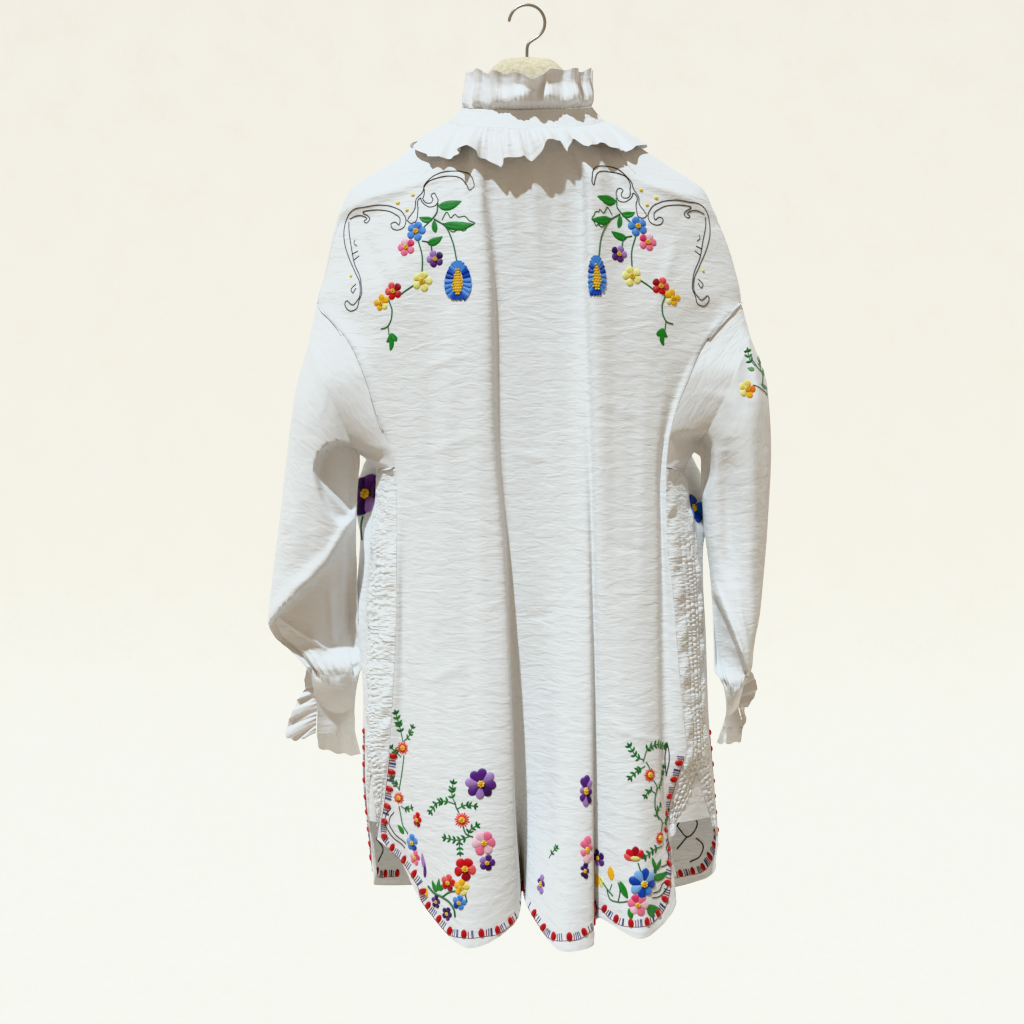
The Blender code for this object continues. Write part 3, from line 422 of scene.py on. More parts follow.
def crinkles(shape, cell, seed, count, length, width, depth, tilt):
    """Height of many small wrinkles: each a bent ridge or trough at a random place of the grid.

    One wrinkle is h = depth e^-(q/width)^2 cos^2(pi p / length) where p runs along it and q across.
    """
    draw = np.random.default_rng(seed)
    height = np.zeros(shape)
    reach = int(math.ceil(length * 0.6 / min(cell)))
    ii, jj = np.mgrid[-reach:reach + 1, -reach:reach + 1]
    for _ in range(count):
        i, j = draw.integers(0, shape[0]), draw.integers(0, shape[1])
        angle = draw.normal(0, tilt)
        long = length * draw.uniform(0.45, 1.0)
        wide = width * draw.uniform(0.7, 1.3)
        rise = depth * draw.uniform(0.35, 1.0) * draw.choice((-1, 1))
        bend = draw.normal(0, 0.006)
        y, x = ii * cell[0], jj * cell[1]
        p = x * math.cos(angle) + y * math.sin(angle)
        q = -x * math.sin(angle) + y * math.cos(angle) + bend * p * p
        one = rise * np.exp(-(q / wide) ** 2) * np.cos(np.pi * np.clip(p / long, -0.5, 0.5)) ** 2
        i0, i1 = max(i - reach, 0), min(i + reach + 1, shape[0])
        j0, j1 = max(j - reach, 0), min(j + reach + 1, shape[1])
        height[i0:i1, j0:j1] += one[i0 - i + reach:i1 - i + reach, j0 - j + reach:j1 - j + reach]
    return height


def side_fade(shape, cells, top=0, foot=0):
    """One inside a grid and falling smoothly to nothing over so many cells at its seams."""
    rows, columns = shape
    j = np.arange(columns)
    fade = smooth(np.minimum(j, columns - 1 - j) / cells)[None, :] * np.ones((rows, 1))
    i = np.arange(rows)[:, None]
    if top:
        fade = fade * smooth(i / top)
    if foot:
        fade = fade * smooth((rows - 1 - i) / foot)
    return fade


def quads_of(rows, columns, closed=False, keep=None):
    """Four corners of each cell of a grid, running down, right, up and left."""
    index = np.arange(rows * columns).reshape(rows, columns)
    after = np.roll(index, -1, axis=1)
    spans = columns if closed else columns - 1
    cells = np.stack([index[:-1, :spans], index[1:, :spans], after[1:, :spans], after[:-1, :spans]], -1)
    return cells.reshape(-1, 4) if keep is None else cells[keep]


def tube_faces(rings, sides):
    """Four corners of each face of a tube: its wall, then strips across its first and last ring."""
    strips = np.array([(k - 1, k, sides - k - 1, sides - k) for k in range(1, sides // 2)])
    caps = np.stack([strips, strips[:, ::-1] + (rings - 1) * sides], 1).reshape(-1, 4)
    return np.concatenate([quads_of(rings, sides, closed=True), caps])


def closed_wall(outer, inner, uv, closed=False, keep=None):
    """Vertices, quads and corner coordinates of a closed wall between two grids of points.

    The rim joins each edge of the outer side that only one quad uses to the same edge inside.
    """
    rows, columns = outer.shape[:2]
    count = rows * columns
    quads = quads_of(rows, columns, closed, keep)
    corner = np.stack([uv[:-1, :-1], uv[1:, :-1], uv[1:, 1:], uv[:-1, 1:]], 2)
    corner = corner.reshape(-1, 4, 2) if keep is None else corner[keep]
    sides = ([0, 1], [1, 2], [2, 3], [3, 0])
    pair = np.concatenate([quads[:, side] for side in sides])
    pair_uv = np.concatenate([corner[:, side] for side in sides])
    lone = ~np.isin(pair[:, 0] * count + pair[:, 1], pair[:, 1] * count + pair[:, 0])
    edge, edge_uv = pair[lone], pair_uv[lone]
    rim = np.stack([edge[:, 1], edge[:, 0], edge[:, 0] + count, edge[:, 1] + count], -1)
    points = np.concatenate([outer.reshape(-1, 3), inner.reshape(-1, 3)])
    faces = np.concatenate([quads, quads[:, ::-1] + count, rim])
    return points, faces, np.concatenate([corner, corner[:, ::-1], edge_uv[:, [1, 0, 0, 1]]])


def in_scene(name, data):
    """A named object of a mesh, a lamp or a camera, linked into the scene."""
    thing = bpy.data.objects.new(name, data)
    bpy.context.scene.collection.objects.link(thing)
    return thing


def add_object(name, points, faces, uv, material, colours=None, sharp=50):
    """One named object from arrays of points in millimetres, quads and corner coordinates."""
    used = np.unique(faces)
    renumber = np.zeros(len(points), int)
    renumber[used] = np.arange(len(used))
    points, faces = points[used], renumber[faces]
    mesh = bpy.data.meshes.new(name)
    mesh.vertices.add(len(points))
    mesh.vertices.foreach_set("co", (points * MM).astype(np.float32).ravel())
    mesh.loops.add(faces.size)
    mesh.loops.foreach_set("vertex_index", faces.astype(np.int32).ravel())
    mesh.polygons.add(len(faces))
    mesh.polygons.foreach_set("loop_start", np.arange(0, faces.size, 4, dtype=np.int32))
    mesh.update(calc_edges=True)
    layer = mesh.uv_layers.new(name="cloth")
    layer.data.foreach_set("uv", uv.astype(np.float32).ravel())
    if colours is not None:
        shade = mesh.color_attributes.new("thread", "FLOAT_COLOR", "POINT")
        full = np.column_stack([colours[used], np.ones(len(used))])
        shade.data.foreach_set("color", full.astype(np.float32).ravel())
    mesh.materials.append(material)
    mesh.shade_smooth()
    mesh.set_sharp_from_angle(angle=math.radians(sharp))
    piece = in_scene(name, mesh)
    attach(piece, "root")
    return piece


def shell(name, grid, material, thick=CLOTH, closed=False, keep=None, tuck=()):
    """A thin wall of cloth on a grid. The edges named by tuck are turned in at their seams."""
    point, out, uv = grid
    for axis, end in (EDGES[edge] for edge in tuck):
        def edge_of(part, index):
            return np.take(part, [index], axis)

        def joined(strip, part):
            return np.concatenate((part, strip) if end else (strip, part), axis)

        edge = edge_of(point, end)
        turned = edge - edge_of(out, end) * TUCK
        away = unit(edge - edge_of(point, -2 if end else 1))
        point, out, uv = joined(turned, point), joined(away, out), joined(edge_of(uv, end), uv)
        if keep is not None:
            keep = joined(edge_of(keep, end), keep)
    points, faces, corners = closed_wall(point, point - out * thick, uv, closed, keep)
    return add_object(name, points, faces, corners, material)


def node_tool(tree):
    """A short way to add a node: the output that feeds its vector, its settings and its values."""
    def add(kind, vector=None, settings=(), **sockets):
        node = tree.nodes.new(kind)
        for key, value in dict(settings).items():
            setattr(node, key, value)
        for key, value in sockets.items():
            node.inputs[key.replace("_", " ")].default_value = value
        if vector is not None:
            tree.links.new(vector, node.inputs["Vector"])
        return node
    return add


def new_material(name, roughness, sheen=0.0, metallic=0.0):
    """A material with its shader, its way to add nodes and its way to link them."""
    material = bpy.data.materials.new(name)
    material.use_nodes = True
    tree = material.node_tree
    shader = tree.nodes["Principled BSDF"]
    shader.inputs["Roughness"].default_value = roughness
    shader.inputs["Metallic"].default_value = metallic
    shader.inputs["Sheen Weight"].default_value = sheen
    return material, shader, node_tool(tree), tree.links.new


def bumps(shader, add, link, *layers):
    """Bumps one upon another: each layer is (output of its height, strength, millimetres)."""
    below = None
    for height, strength, distance in layers:
        bump = add("ShaderNodeBump", Strength=strength, Distance=distance * MM)
        link(height, bump.inputs["Height"])
        if below is not None:
            link(below.outputs["Normal"], bump.inputs["Normal"])
        below = bump
    link(below.outputs["Normal"], shader.inputs["Normal"])


def tones(shader, add, link, share, dark, light, start=0.0, stop=1.0):
    """Base colour that goes from a dark to a light tone as a share goes from start to stop."""
    ramp = add("ShaderNodeValToRGB")
    for element, place, tone in zip(ramp.color_ramp.elements, (start, stop), (dark, light)):
        element.position = place
        element.color = (*tone, 1)
    link(share, ramp.inputs["Fac"])
    link(ramp.outputs["Color"], shader.inputs["Base Color"])


def cloth_place(add):
    """The cloth's own flat coordinates, in millimetres."""
    where = add("ShaderNodeTexCoord")
    return add("ShaderNodeMapping", where.outputs["UV"], Scale=(1000, 1000, 1)).outputs["Vector"]


def linear(red, green, blue):
    """A colour given as 0 to 255 screen values, as linear light."""
    value = np.array([red, green, blue]) / 255
    return np.where(value < 0.04045, value / 12.92, ((value + 0.055) / 1.055) ** 2.4)


def cotton(name, tone=(233, 234, 235), slub=0.32, crinkle=1.1, rough=0.82):
    """White cotton: its weave, its cross slubs and its crinkle, all on the cloth's own coordinates.

    Height = weave + slub noise stretched 5 to 1 across the cloth + a softer noise stretched 3 to 1.
    """
    material, shader, add, link = new_material(name, rough, sheen=0.12)
    place = cloth_place(add)
    stretch = add("ShaderNodeMapping", place, Scale=(0.09, 0.42, 1), Rotation=(0, 0, 0.05))
    slubs = add("ShaderNodeTexNoise", stretch.outputs["Vector"], Scale=1.0, Detail=2.0, Roughness=0.5,
                Distortion=0.35)
    stretch = add("ShaderNodeMapping", place, Scale=(0.045, 0.12, 1), Rotation=(0, 0, 0.12))
    folds = add("ShaderNodeTexNoise", stretch.outputs["Vector"], Scale=1.0, Detail=3.0, Roughness=0.5,
                Distortion=0.6)
    weave = add("ShaderNodeMath", settings=dict(operation="ADD"))
    for number, way in enumerate("XY"):
        yarns = add("ShaderNodeTexWave", place, dict(bands_direction=way), Scale=0.5, Distortion=0.6,
                    Detail=1.0)
        link(yarns.outputs["Fac"], weave.inputs[number])
    bumps(shader, add, link, (folds.outputs["Fac"], 1.0, crinkle), (slubs.outputs["Fac"], 1.0, slub),
          (weave.outputs["Value"], 0.5, 0.03))
    white = linear(*tone)
    tones(shader, add, link, slubs.outputs["Fac"], white * (0.965, 0.965, 0.96), white, 0.3, 0.7)
    return material


def thread_material(name):
    """Stranded thread: each strand a rounded bump along the stitch, its colour a little uneven."""
    material, shader, add, link = new_material(name, 0.48, sheen=0.25)
    place = cloth_place(add)
    strands = add("ShaderNodeTexWave", place, dict(bands_direction="X"), Scale=0.3, Distortion=0.5,
                  Detail=1.0)
    bumps(shader, add, link, (strands.outputs["Fac"], 0.8, 0.16))
    stretch = add("ShaderNodeMapping", place, Scale=(1.4, 0.08, 1))
    uneven = add("ShaderNodeTexNoise", stretch.outputs["Vector"], Scale=1.0, Detail=2.0)
    level = add("ShaderNodeMapRange", From_Min=0.3, From_Max=0.7, To_Min=0.74, To_Max=1.12)
    link(uneven.outputs["Fac"], level.inputs["Value"])
    colour = add("ShaderNodeVertexColor", settings=dict(layer_name="thread"))
    mix = add("ShaderNodeVectorMath", settings=dict(operation="SCALE"))
    link(colour.outputs["Color"], mix.inputs[0])
    link(level.outputs["Result"], mix.inputs["Scale"])
    link(mix.outputs["Vector"], shader.inputs["Base Color"])
    return material


def fleece_material(name):
    """Cream fleece: clumps of pile at two sizes, as bump and as slight shade."""
    material, shader, add, link = new_material(name, 0.95, sheen=0.5)
    place = add("ShaderNodeTexCoord").outputs["Object"]
    clumps = add("ShaderNodeTexNoise", place, Scale=230.0, Detail=5.0, Roughness=0.7).outputs["Fac"]
    pile = add("ShaderNodeTexVoronoi", place, Scale=420.0)
    bumps(shader, add, link, (clumps, 1.0, 1.6), (pile.outputs["Distance"], 0.6, 0.6))
    tones(shader, add, link, clumps, linear(206, 192, 158), linear(240, 230, 204), 0.3, 0.7)
    return material


def steel_material(name):
    """Bright wire, very finely mottled."""
    material, shader, add, link = new_material(name, 0.28, metallic=1.0)
    place = add("ShaderNodeTexCoord").outputs["Object"]
    noise = add("ShaderNodeTexNoise", place, Scale=900.0, Detail=3.0).outputs["Fac"]
    bumps(shader, add, link, (noise, 0.25, 0.05))
    tones(shader, add, link, noise, linear(150, 146, 138), linear(208, 206, 200))
    return material


COTTON = cotton("crinkled_cotton")
SHIRRED = cotton("shirred_cotton", slub=1.0, crinkle=2.8)
FRILL = cotton("frill_cotton", tone=(235, 235, 236), slub=0.2, crinkle=1.2, rough=0.5)
THREAD = thread_material("embroidery_thread")
FLEECE = fleece_material("cream_fleece")
STEEL = steel_material("hook_wire")


def cloth_piece(name, node, held, rests, grid, material, **how):
    piece = shell(name, grid, material, **how)
    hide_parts(node)


def mirror_x(table):
    """The same crease table with every x turned to the other side."""
    return [(-x0, d0, -x1, d1, width, depth) for x0, d0, x1, d1, width, depth in table]


# Main creases of the back: (x, drop) at both ends, width, height out of the cloth.
BACK_CREASES = [
    (-60, 150, -66, 250, 5, -1.6), (-46, 150, -46, 230, 3, 1.4), (-24, 150, -14, 262, 4, 1.8),
    (-12, 150, 2, 240, 4, -1.6), (4, 150, 12, 300, 5, 1.5), (18, 150, 26, 250, 4, -1.5),
    (30, 150, 38, 236, 4, 1.6), (66, 150, 78, 250, 5, 1.6), (84, 170, 108, 300, 6, -1.4),
    (-84, 176, -112, 300, 6, 1.2), (-72, 300, -84, 520, 8, 1.2), (-100, 330, -96, 560, 7, -1.2),
    (-52, 420, -44, 700, 8, 1.2), (22, 330, 30, 560, 9, 1.4), (40, 360, 48, 640, 7, -1.2),
    (86, 320, 88, 620, 8, -1.3), (118, 380, 112, 640, 7, 1.3), (-64, 560, -52, 820, 9, -1.4),
    (-96, 600, -90, 860, 8, 1.3), (14, 600, 22, 900, 8, -1.3), (94, 640, 92, 900, 9, 1.4),
    (-150, 250, -120, 330, 6, 1.3), (-168, 246, -150, 300, 5, -1.2), (152, 250, 128, 330, 6, 1.3),
    (-112, 392, -72, 372, 5, 0.9), (-98, 470, -50, 452, 4, 0.8), (70, 420, 118, 436, 5, 0.8),
    (76, 560, 122, 574, 4, -0.8), (-100, 700, -60, 682, 5, 0.9), (84, 744, 120, 760, 5, 0.8),
    (-16, 470, 22, 476, 4, 0.7), (-10, 640, 28, 634, 4, -0.8), (-128, 560, -118, 700, 4, 1.4),
    (134, 520, 140, 700, 4, 1.4), (-124, 800, -110, 900, 4, -1.3), (-72, 930, -64, 880, 4, 1.3)]
FRONT_CREASES = mirror_x(BACK_CREASES[:24]) + [
    (-20, 420, -30, 560, 7, 1.6), (16, 420, 34, 600, 7, -1.5), (-100, 700, -110, 900, 8, 1.4),
    (96, 700, 108, 900, 8, 1.4), (-40, 760, -30, 920, 8, -1.4), (36, 760, 30, 920, 8, 1.4)]


def crease_height(point, table):
    """Sum of all the creases of a table."""
    height = np.zeros(point.shape[:2])
    for row in table:
        height += crease(point, *row)
    return height


def hem_height(shape, cell, wave):
    """A turned hem: the cloth is twice as thick below the hem stitching and slightly gathered."""
    rows, columns = shape
    above = (rows - 1 - np.arange(rows))[:, None] * cell
    along = np.arange(columns)[None, :]
    band = 0.45 * smooth((HEM_TURN - above) / 2)
    gather = np.sin(along * wave + 1.3 * np.sin(along * 0.37))
    return band + 0.4 * np.exp(-((above - HEM_TURN / 2 + 0.25) / 5) ** 2) * gather


def relief(grid, height, closed=False):
    """The grid moved outwards by a height at each point."""
    return make_grid(grid.point + grid.out * height[..., None], closed)


def back_grid():
    """The back: places between its two seams, rows from the neck to the hem."""
    rows = even_rows(FIRST_ROW, LAST_ROW, 262, LINE["middle_crest"])
    u = patch(LINE["back_seam_left"], LINE["back_seam_right"], rows, 176)
    grid = make_grid(dress(u, rows[:, None]))
    height = crease_height(grid.point, BACK_CREASES)
    height += crinkles(height.shape, cell=(3.1, 3.9), seed=7, count=900, length=46, width=3.6,
                       depth=0.17, tilt=0.45)
    height = height * side_fade(height.shape, 5) + hem_height(height.shape, 3.1, 1.9)
    return relief(grid, height)


# The front swells sideways beside its seams under the arms: (drop, how far) down each roll.
FRONT_BULGES = dict(
    front_left_roll=(
        (440, 0), (470, -22), (500, -31), (530, -28), (560, -20), (640, -16), (690, -5), (730, 0)),
    front_right_roll=((440, 0), (470, 22), (500, 30), (530, 24), (570, 8), (620, 0)))


def front_grid():
    """The front, from its right seam to its left one, with the neck slit between two columns."""
    middle = LINE["front_middle"]
    rows = even_rows(FIRST_ROW, LAST_ROW, 190, middle)
    right = patch(LINE["front_seam_right"], middle - FRONT_GAP, rows, FRONT_COLUMNS)
    left = patch(middle + FRONT_GAP, LINE["front_seam_left"], rows, FRONT_COLUMNS)
    u = np.concatenate([right, left], axis=1)
    point = dress(u, rows[:, None])
    for which, knots in FRONT_BULGES.items():
        reach = follow(*np.array(knots, float).T, -point[..., 2])
        point[..., 0] += reach * np.exp(-((u - LINE[which]) / 0.42) ** 2)
    grid = make_grid(point)
    height = crease_height(grid.point, FRONT_CREASES)
    height += crinkles(height.shape, cell=(4.2, 4.8), seed=11, count=520, length=46, width=3.8,
                       depth=0.19, tilt=0.45)
    height = height * side_fade(height.shape, 5) + hem_height(height.shape, 4.2, 1.9)
    keep = np.ones((len(rows) - 1, 2 * FRONT_COLUMNS - 1), bool)
    keep[rows[1:] <= NECK_SLIT_ROW, FRONT_COLUMNS - 1] = False
    return relief(grid, height), keep


def side_start(side):
    """Place of the first seam of a side zone; its second seam is two fold lines further."""
    return LINE["back_seam_right"] if side == "right" else LINE["front_seam_left"]


def yoke_grid(side):
    """The shoulder piece from its back seam over the shoulder to its front seam."""
    first = side_start(side)
    rows = even_rows(FIRST_ROW, TIP_ROW - FIRST_ROW, 62, first + 1)
    u = patch(first, first + 2, rows, 40, gap=SEAM)
    grid = make_grid(dress(u, rows[:, None]))
    height = crinkles(grid.point.shape[:2], cell=(3.0, 2.6), seed=21, count=70, length=34, width=3.2,
                      depth=0.3, tilt=0.5)
    return relief(grid, height * side_fade(height.shape, 5, top=4, foot=4))


def casing_width(row):
    """Width of a slit casing in fold lines: nearly one at the slit's head, narrowing below it."""
    return np.where(row <= SLIT_ROW, 0.99, np.interp(row, (SLIT_ROW, FOOT_ROW), (0.96, CASING)))


def shirring(point, across, seed):
    """Height of the shirred strip: uneven puckers down it, deepest between its stitched lines.

    across runs from -1 to 1 over the strip. A pucker is a rounded ridge |sin| of the drop, and it
    leans and shifts from line to line; four drawn lines pull narrow grooves down the strip.
    """
    drop = -point[..., 2]
    draw = np.random.default_rng(seed)
    shift = np.interp(drop, np.linspace(450, 900, 90), np.cumsum(draw.normal(0, 0.5, 90)))
    lane = np.floor((across + 1) * 4.5)
    phase = drop / 5.2 + shift + 0.5 * (lane % 2) + 1.1 * across + 0.35 * np.sin(drop / 17 + 1.9 * lane)
    pucker = np.abs(np.sin(np.pi * phase)) ** 0.7
    edge = np.abs(across)
    strength = np.exp(-(across / 0.5) ** 2) * 1.25 + 0.5 * np.exp(-((edge - 0.7) / 0.25) ** 2)
    groove = sum(np.exp(-((across - place) / 0.07) ** 2) for place in (-0.42, -0.14, 0.14, 0.42))
    fan = 0.9 * np.sin(drop / 7.5 + 2.2 * across + shift) * np.exp(-((edge - 0.75) / 0.3) ** 2)
    plain = 0.2 + 0.8 * smooth((drop - 535) / 45)
    return (1.6 * pucker * strength - 1.0 * groove) * plain + 1.7 * fan


def side_grid(side):
    """The shirred strip and its two slit casings as one grid, parted at the slit."""
    first = side_start(side)
    rows = even_rows(ARM_ROW + 0.01, FOOT_ROW + 0.5, 264, first + 1)
    width = casing_width(rows)
    behind = patch(first, first + width, rows, STRIP_COLUMNS)
    before = patch(first + 2 - width, first + 2, rows, STRIP_COLUMNS)
    grid = make_grid(dress(np.concatenate([behind, before], axis=1), rows[:, None]))
    half = np.linspace(0, 1, STRIP_COLUMNS)
    share = np.concatenate([half - 1, half])[None, :]
    open_share = np.concatenate([half - 0.5, half - 0.5])[None, :]
    below = smooth((rows - SLIT_ROW + 0.6) / 0.8)[:, None]
    height = shirring(grid.point, share * (1 - below) + open_share * below, 5 if side == "left" else 6)
    height *= side_fade(height.shape, 3, top=6)
    keep = np.ones((len(rows) - 1, 2 * STRIP_COLUMNS - 1), bool)
    keep[rows[1:] > SLIT_ROW, STRIP_COLUMNS - 1] = False
    return relief(grid, height), keep


def gusset_grid(side):
    """The plain triangle set into the head of the side slit."""
    first = side_start(side)
    rows = np.linspace(SLIT_ROW + 0.12, FOOT_ROW, 22)
    inset = casing_width(rows) + 0.02
    u = patch(first + inset, first + 2 - inset, rows, 22, gap=0.2)
    grid = make_grid(dress(u, rows[:, None]))
    return relief(grid, crinkles(grid.point.shape[:2], cell=(2.5, 2.5), seed=31, count=12, length=20,
                                 width=2.5, depth=0.4, tilt=0.4))


def neck_path(u):
    """Bottom edge of the neckband: the dress's own neckline."""
    return ring(u, along_lines(u, False))


def neck_point(u, height):
    """Outer face of the neckband at a share of its height, narrowing towards its top."""
    base = neck_path(u)
    scale = 1 - (1 - NECK_TAPER) * height
    point = base * np.stack([scale, scale, np.ones_like(scale)], -1)
    behind = np.clip(-base[..., 1] / NECK_DEPTH, 0, 1)
    point[..., 2] += height * (NECK_FRONT + (NECK_STAND - NECK_FRONT) * behind)
    return point


def neck_walk(count):
    """Even steps once round the neckband: their share of the way and their places."""
    middle = LINE["front_middle"]
    u = np.linspace(middle + FRONT_GAP, middle + LINES - FRONT_GAP, 8 * LINES + 1)
    walked = run_length(neck_path(u), 0)
    share = np.linspace(0, 1, count)
    return share, np.interp(share * walked[-1], walked, u)


def flat_out(point, u):
    """Level direction away from the neck, square to the neckline."""
    along = neck_path(u + 0.5) - neck_path(u - 0.5)
    out = unit(np.stack([along[..., 1], -along[..., 0], np.zeros(u.shape)], -1))
    return out * np.sign((out * point).sum(-1, keepdims=True))


def soft_wave(share, waves, seed, uneven=0.35):
    """A wave of about so many turns whose length and height drift along the way."""
    draw = np.random.default_rng(seed)
    knots = np.linspace(0, 1, waves + 1)
    shift = np.interp(share, knots, draw.normal(0, uneven, waves + 1))
    tall = np.interp(share, knots, draw.uniform(0.55, 1.25, waves + 1))
    return tall * np.sin(2 * np.pi * (waves * share) + shift)


def neckband_grid():
    """The neckband: a strip along the neckline with slight cross wrinkles and two pressed edges."""
    _, u = neck_walk(420)
    heights = np.linspace(1, 0, 16)[:, None]
    point = neck_point(u[None, :] + 0 * heights, heights + 0 * u[None, :])
    out = flat_out(point[8], u)
    height = crinkles(point.shape[:2], cell=(1.7, 1.3), seed=41, count=60, length=22, width=1.6,
                      depth=0.35, tilt=0.5)
    height += 0.35 * (smooth((heights - 0.86) / 0.06) + smooth((0.14 - heights) / 0.06))
    return make_grid(point + out[None] * height[..., None])


def sideways(out):
    """Level direction along the neck, square to its level outward direction."""
    return np.stack([-out[:, 1], out[:, 0], 0 * out[:, 0]], -1)


def collar_frill_grid():
    """The standing frill: P = root + lean(h) + waves(h) + puff(h), where h runs up it.

    Its waves are flattened at their crests (tanh of a sine) and open towards its edge, fine gathers
    fade above the seam, the cloth puffs out over its seam behind, and behind the neck it falls
    outwards in one sharp fold.
    """
    share, u = neck_walk(470)
    root = neck_point(u, np.ones(u.shape))
    out = flat_out(root, u)
    h = np.linspace(1, 0, 22)[:, None]
    along = share[None, :]
    long_wave = soft_wave(along, 15, 51)
    wave = np.tanh(1.7 * long_wave) * 4.6 + soft_wave(along, 37, 52) * 0.9
    gather = soft_wave(along, 84, 53) * 1.1 * np.exp(-h / 0.35)
    swing = wave * h ** 0.8 + gather
    x = root[None, :, 0]
    behind = root[None, :, 1] < 0
    notch = np.where(behind, np.exp(-((x - 5) / 6.5) ** 2), 0)
    dip = np.where(behind, np.exp(-((x + 2) / 22) ** 2), 0)
    lean = np.radians(3 + 40 * notch) * smooth(h / 0.6)
    tall = 37.5 * (1 + 0.03 * np.sin(9 * along * 2 * np.pi) - 0.20 * dip)
    back, left, right = (np.clip(part, 0, 1) for part in (-out[:, 1], -out[:, 0], out[:, 0]))
    tilt = 6.5 * back - 14 * left ** 2 - 5 * right ** 2
    puff = 12.5 * smooth(h / 0.15) * (1 - 0.72 * smooth((h - 0.22) / 0.5))
    puff = puff * (0.35 + 0.65 * smooth((x + 38) / 24)) * back * (1 + 0.35 * long_wave)
    away = tall * h * np.sin(lean) + swing * (1 - 0.3 * notch) + tilt * h ** 1.2 + puff - 0.6
    away = away + 0.7 * smooth((h - 0.93) / 0.04)
    slide = 2.2 * h * np.sin(2 * np.pi * 17 * along + 1.1)
    point = root[None] + out[None] * away[..., None] + sideways(out)[None] * slide[..., None]
    point[..., 2] += 0.8 + tall * h * np.cos(lean)
    return make_grid(point)


# Edge of the falling frill behind: (x, drop of its edge) from left to right.
FRILL_EDGE = (
    (-112, 166), (-94, 171), (-77, 174), (-69, 171), (-61, 165), (-53, 170), (-50, 175), (-40, 176),
    (-28, 186), (-22, 178), (-2, 175), (5, 180), (12, 172), (21, 161), (31, 160), (39, 171), (46, 158),
    (54, 166), (61, 168), (71, 159), (86, 164), (96, 165), (112, 160))
FRILL_STAND = 16           # how far the falling frill's edge stands off the dress


def shoulder_frill_grid():
    """The falling frill: a quadratic curve from the neckband's foot to an edge off the dress.

    Its edge drops as the table says behind and evenly before; where it drops less it stands out more.
    Long soft waves grow towards the edge and fine gathers fade below the seam.
    """
    share, u = neck_walk(600)
    root = neck_point(u, np.full(u.shape, 0.12))
    out = flat_out(root, u)
    behind = smooth((-root[:, 1] - 2) / 14)
    edge = np.array(FRILL_EDGE, float)
    plain = along_lines(u, False) + 23 + 3.0 * soft_wave(share, 15, 61)
    drop = plain
    for _ in range(5):
        stand = FRILL_STAND + 4.6 * soft_wave(share, 14, 62) + 0.30 * np.clip(172 - drop, -8, 14) * behind
        stand = stand * (0.5 + 0.5 * np.abs(out[:, 1]))
        foot = ring(u, drop) + out * stand[:, None]
        drop = np.interp(foot[:, 0], edge[:, 0], edge[:, 1]) * behind + plain * (1 - behind)
    middle = root + (foot - root) * 0.38 + out * (0.42 * stand)[:, None]
    h = np.linspace(0, 1, 22)[:, None]
    along = share[None, :]
    t = h[..., None]
    point = (1 - t) ** 2 * root + 2 * t * (1 - t) * middle + t * t * foot
    gather = soft_wave(along, 84, 63) * 2.5 * np.exp(-h / 0.42) * smooth(h / 0.06 + 0.3)
    ripple = soft_wave(along, 38, 64) * 2.3 * h * (1.2 - 0.5 * h) + 0.45 * smooth((h - 0.93) / 0.04)
    slide = 2.4 * soft_wave(along, 26, 65) * h
    point = point + out[None] * (0.8 + gather + ripple)[..., None]
    return make_grid(point + sideways(out)[None] * slide[..., None])


def armhole(side, columns):
    """Points round an armhole: shoulder, back edge down, underarm, front edge up."""
    steps = np.arange(2 * (ARM_ROW - TIP_ROW) + 1) / 2
    middle = LINE[side + "_side"]
    behind = np.full(len(steps), LINE["back_seam_" + side])
    before = np.full(len(steps), LINE["front_seam_" + side])
    if side == "left":
        behind = behind + LINES
    u = np.concatenate([[middle], behind, [middle], before, [middle]]).astype(float)
    row = np.concatenate([[TIP_ROW], TIP_ROW + steps, [ARM_ROW], ARM_ROW - steps, [TIP_ROW]])
    turn = np.arange(columns) / columns
    place = turn * (len(u) - 1)
    return turn, dress(np.interp(place, np.arange(len(u)), u), np.interp(place, np.arange(len(u)), row))


def hollow(x, drop, side):
    """Depth of the underarm hollow: steep walls a few millimetres wide inside its two edges.

    A ridge of cloth crosses it; left of the ridge the hollow is shallower, like a leaf.
    """
    rows = np.array(HOLLOW[side], float)
    left, right = (follow(rows[:, 0], rows[:, k], drop) for k in (1, 2))
    line = np.array(HOLLOW_RIDGE[side], float)
    beside = x - follow(line[:, 0], line[:, 1], drop)
    leaf = smooth(0.5 - beside / 8) * smooth((drop - line[0, 0]) / 6)
    ridge = 0.16 * np.exp(-(beside / 3.2) ** 2) * smooth((drop - line[0, 0]) / 6)
    inside = smooth((x - left) / 6) * smooth((right - x) / 7)
    ends = smooth((drop - rows[0, 0]) / 4) * smooth((rows[-1, 0] - drop) / 9)
    return HOLLOW_DEPTH[side] * inside * ends * (1 - LEAF_SHARE * leaf - ridge)


def blouse(x, drop, side):
    """Depth of the cloth by the blouse fold: a lip above it, a crisp step, then cloth that leans in."""
    line = np.array(BLOUSE[side], float)
    order = np.argsort(line[:, 0])
    edge = np.interp(x, line[order, 0], line[order, 1])
    below = (drop - edge) * 0.75
    lip = -4.5 * np.exp(-((below + 6) / 7) ** 2)
    return BLOUSE_STEP * smooth(below / 3 + 0.5) + BLOUSE_SLOPE * np.clip(below, 0, BLOUSE_LONG) + lip


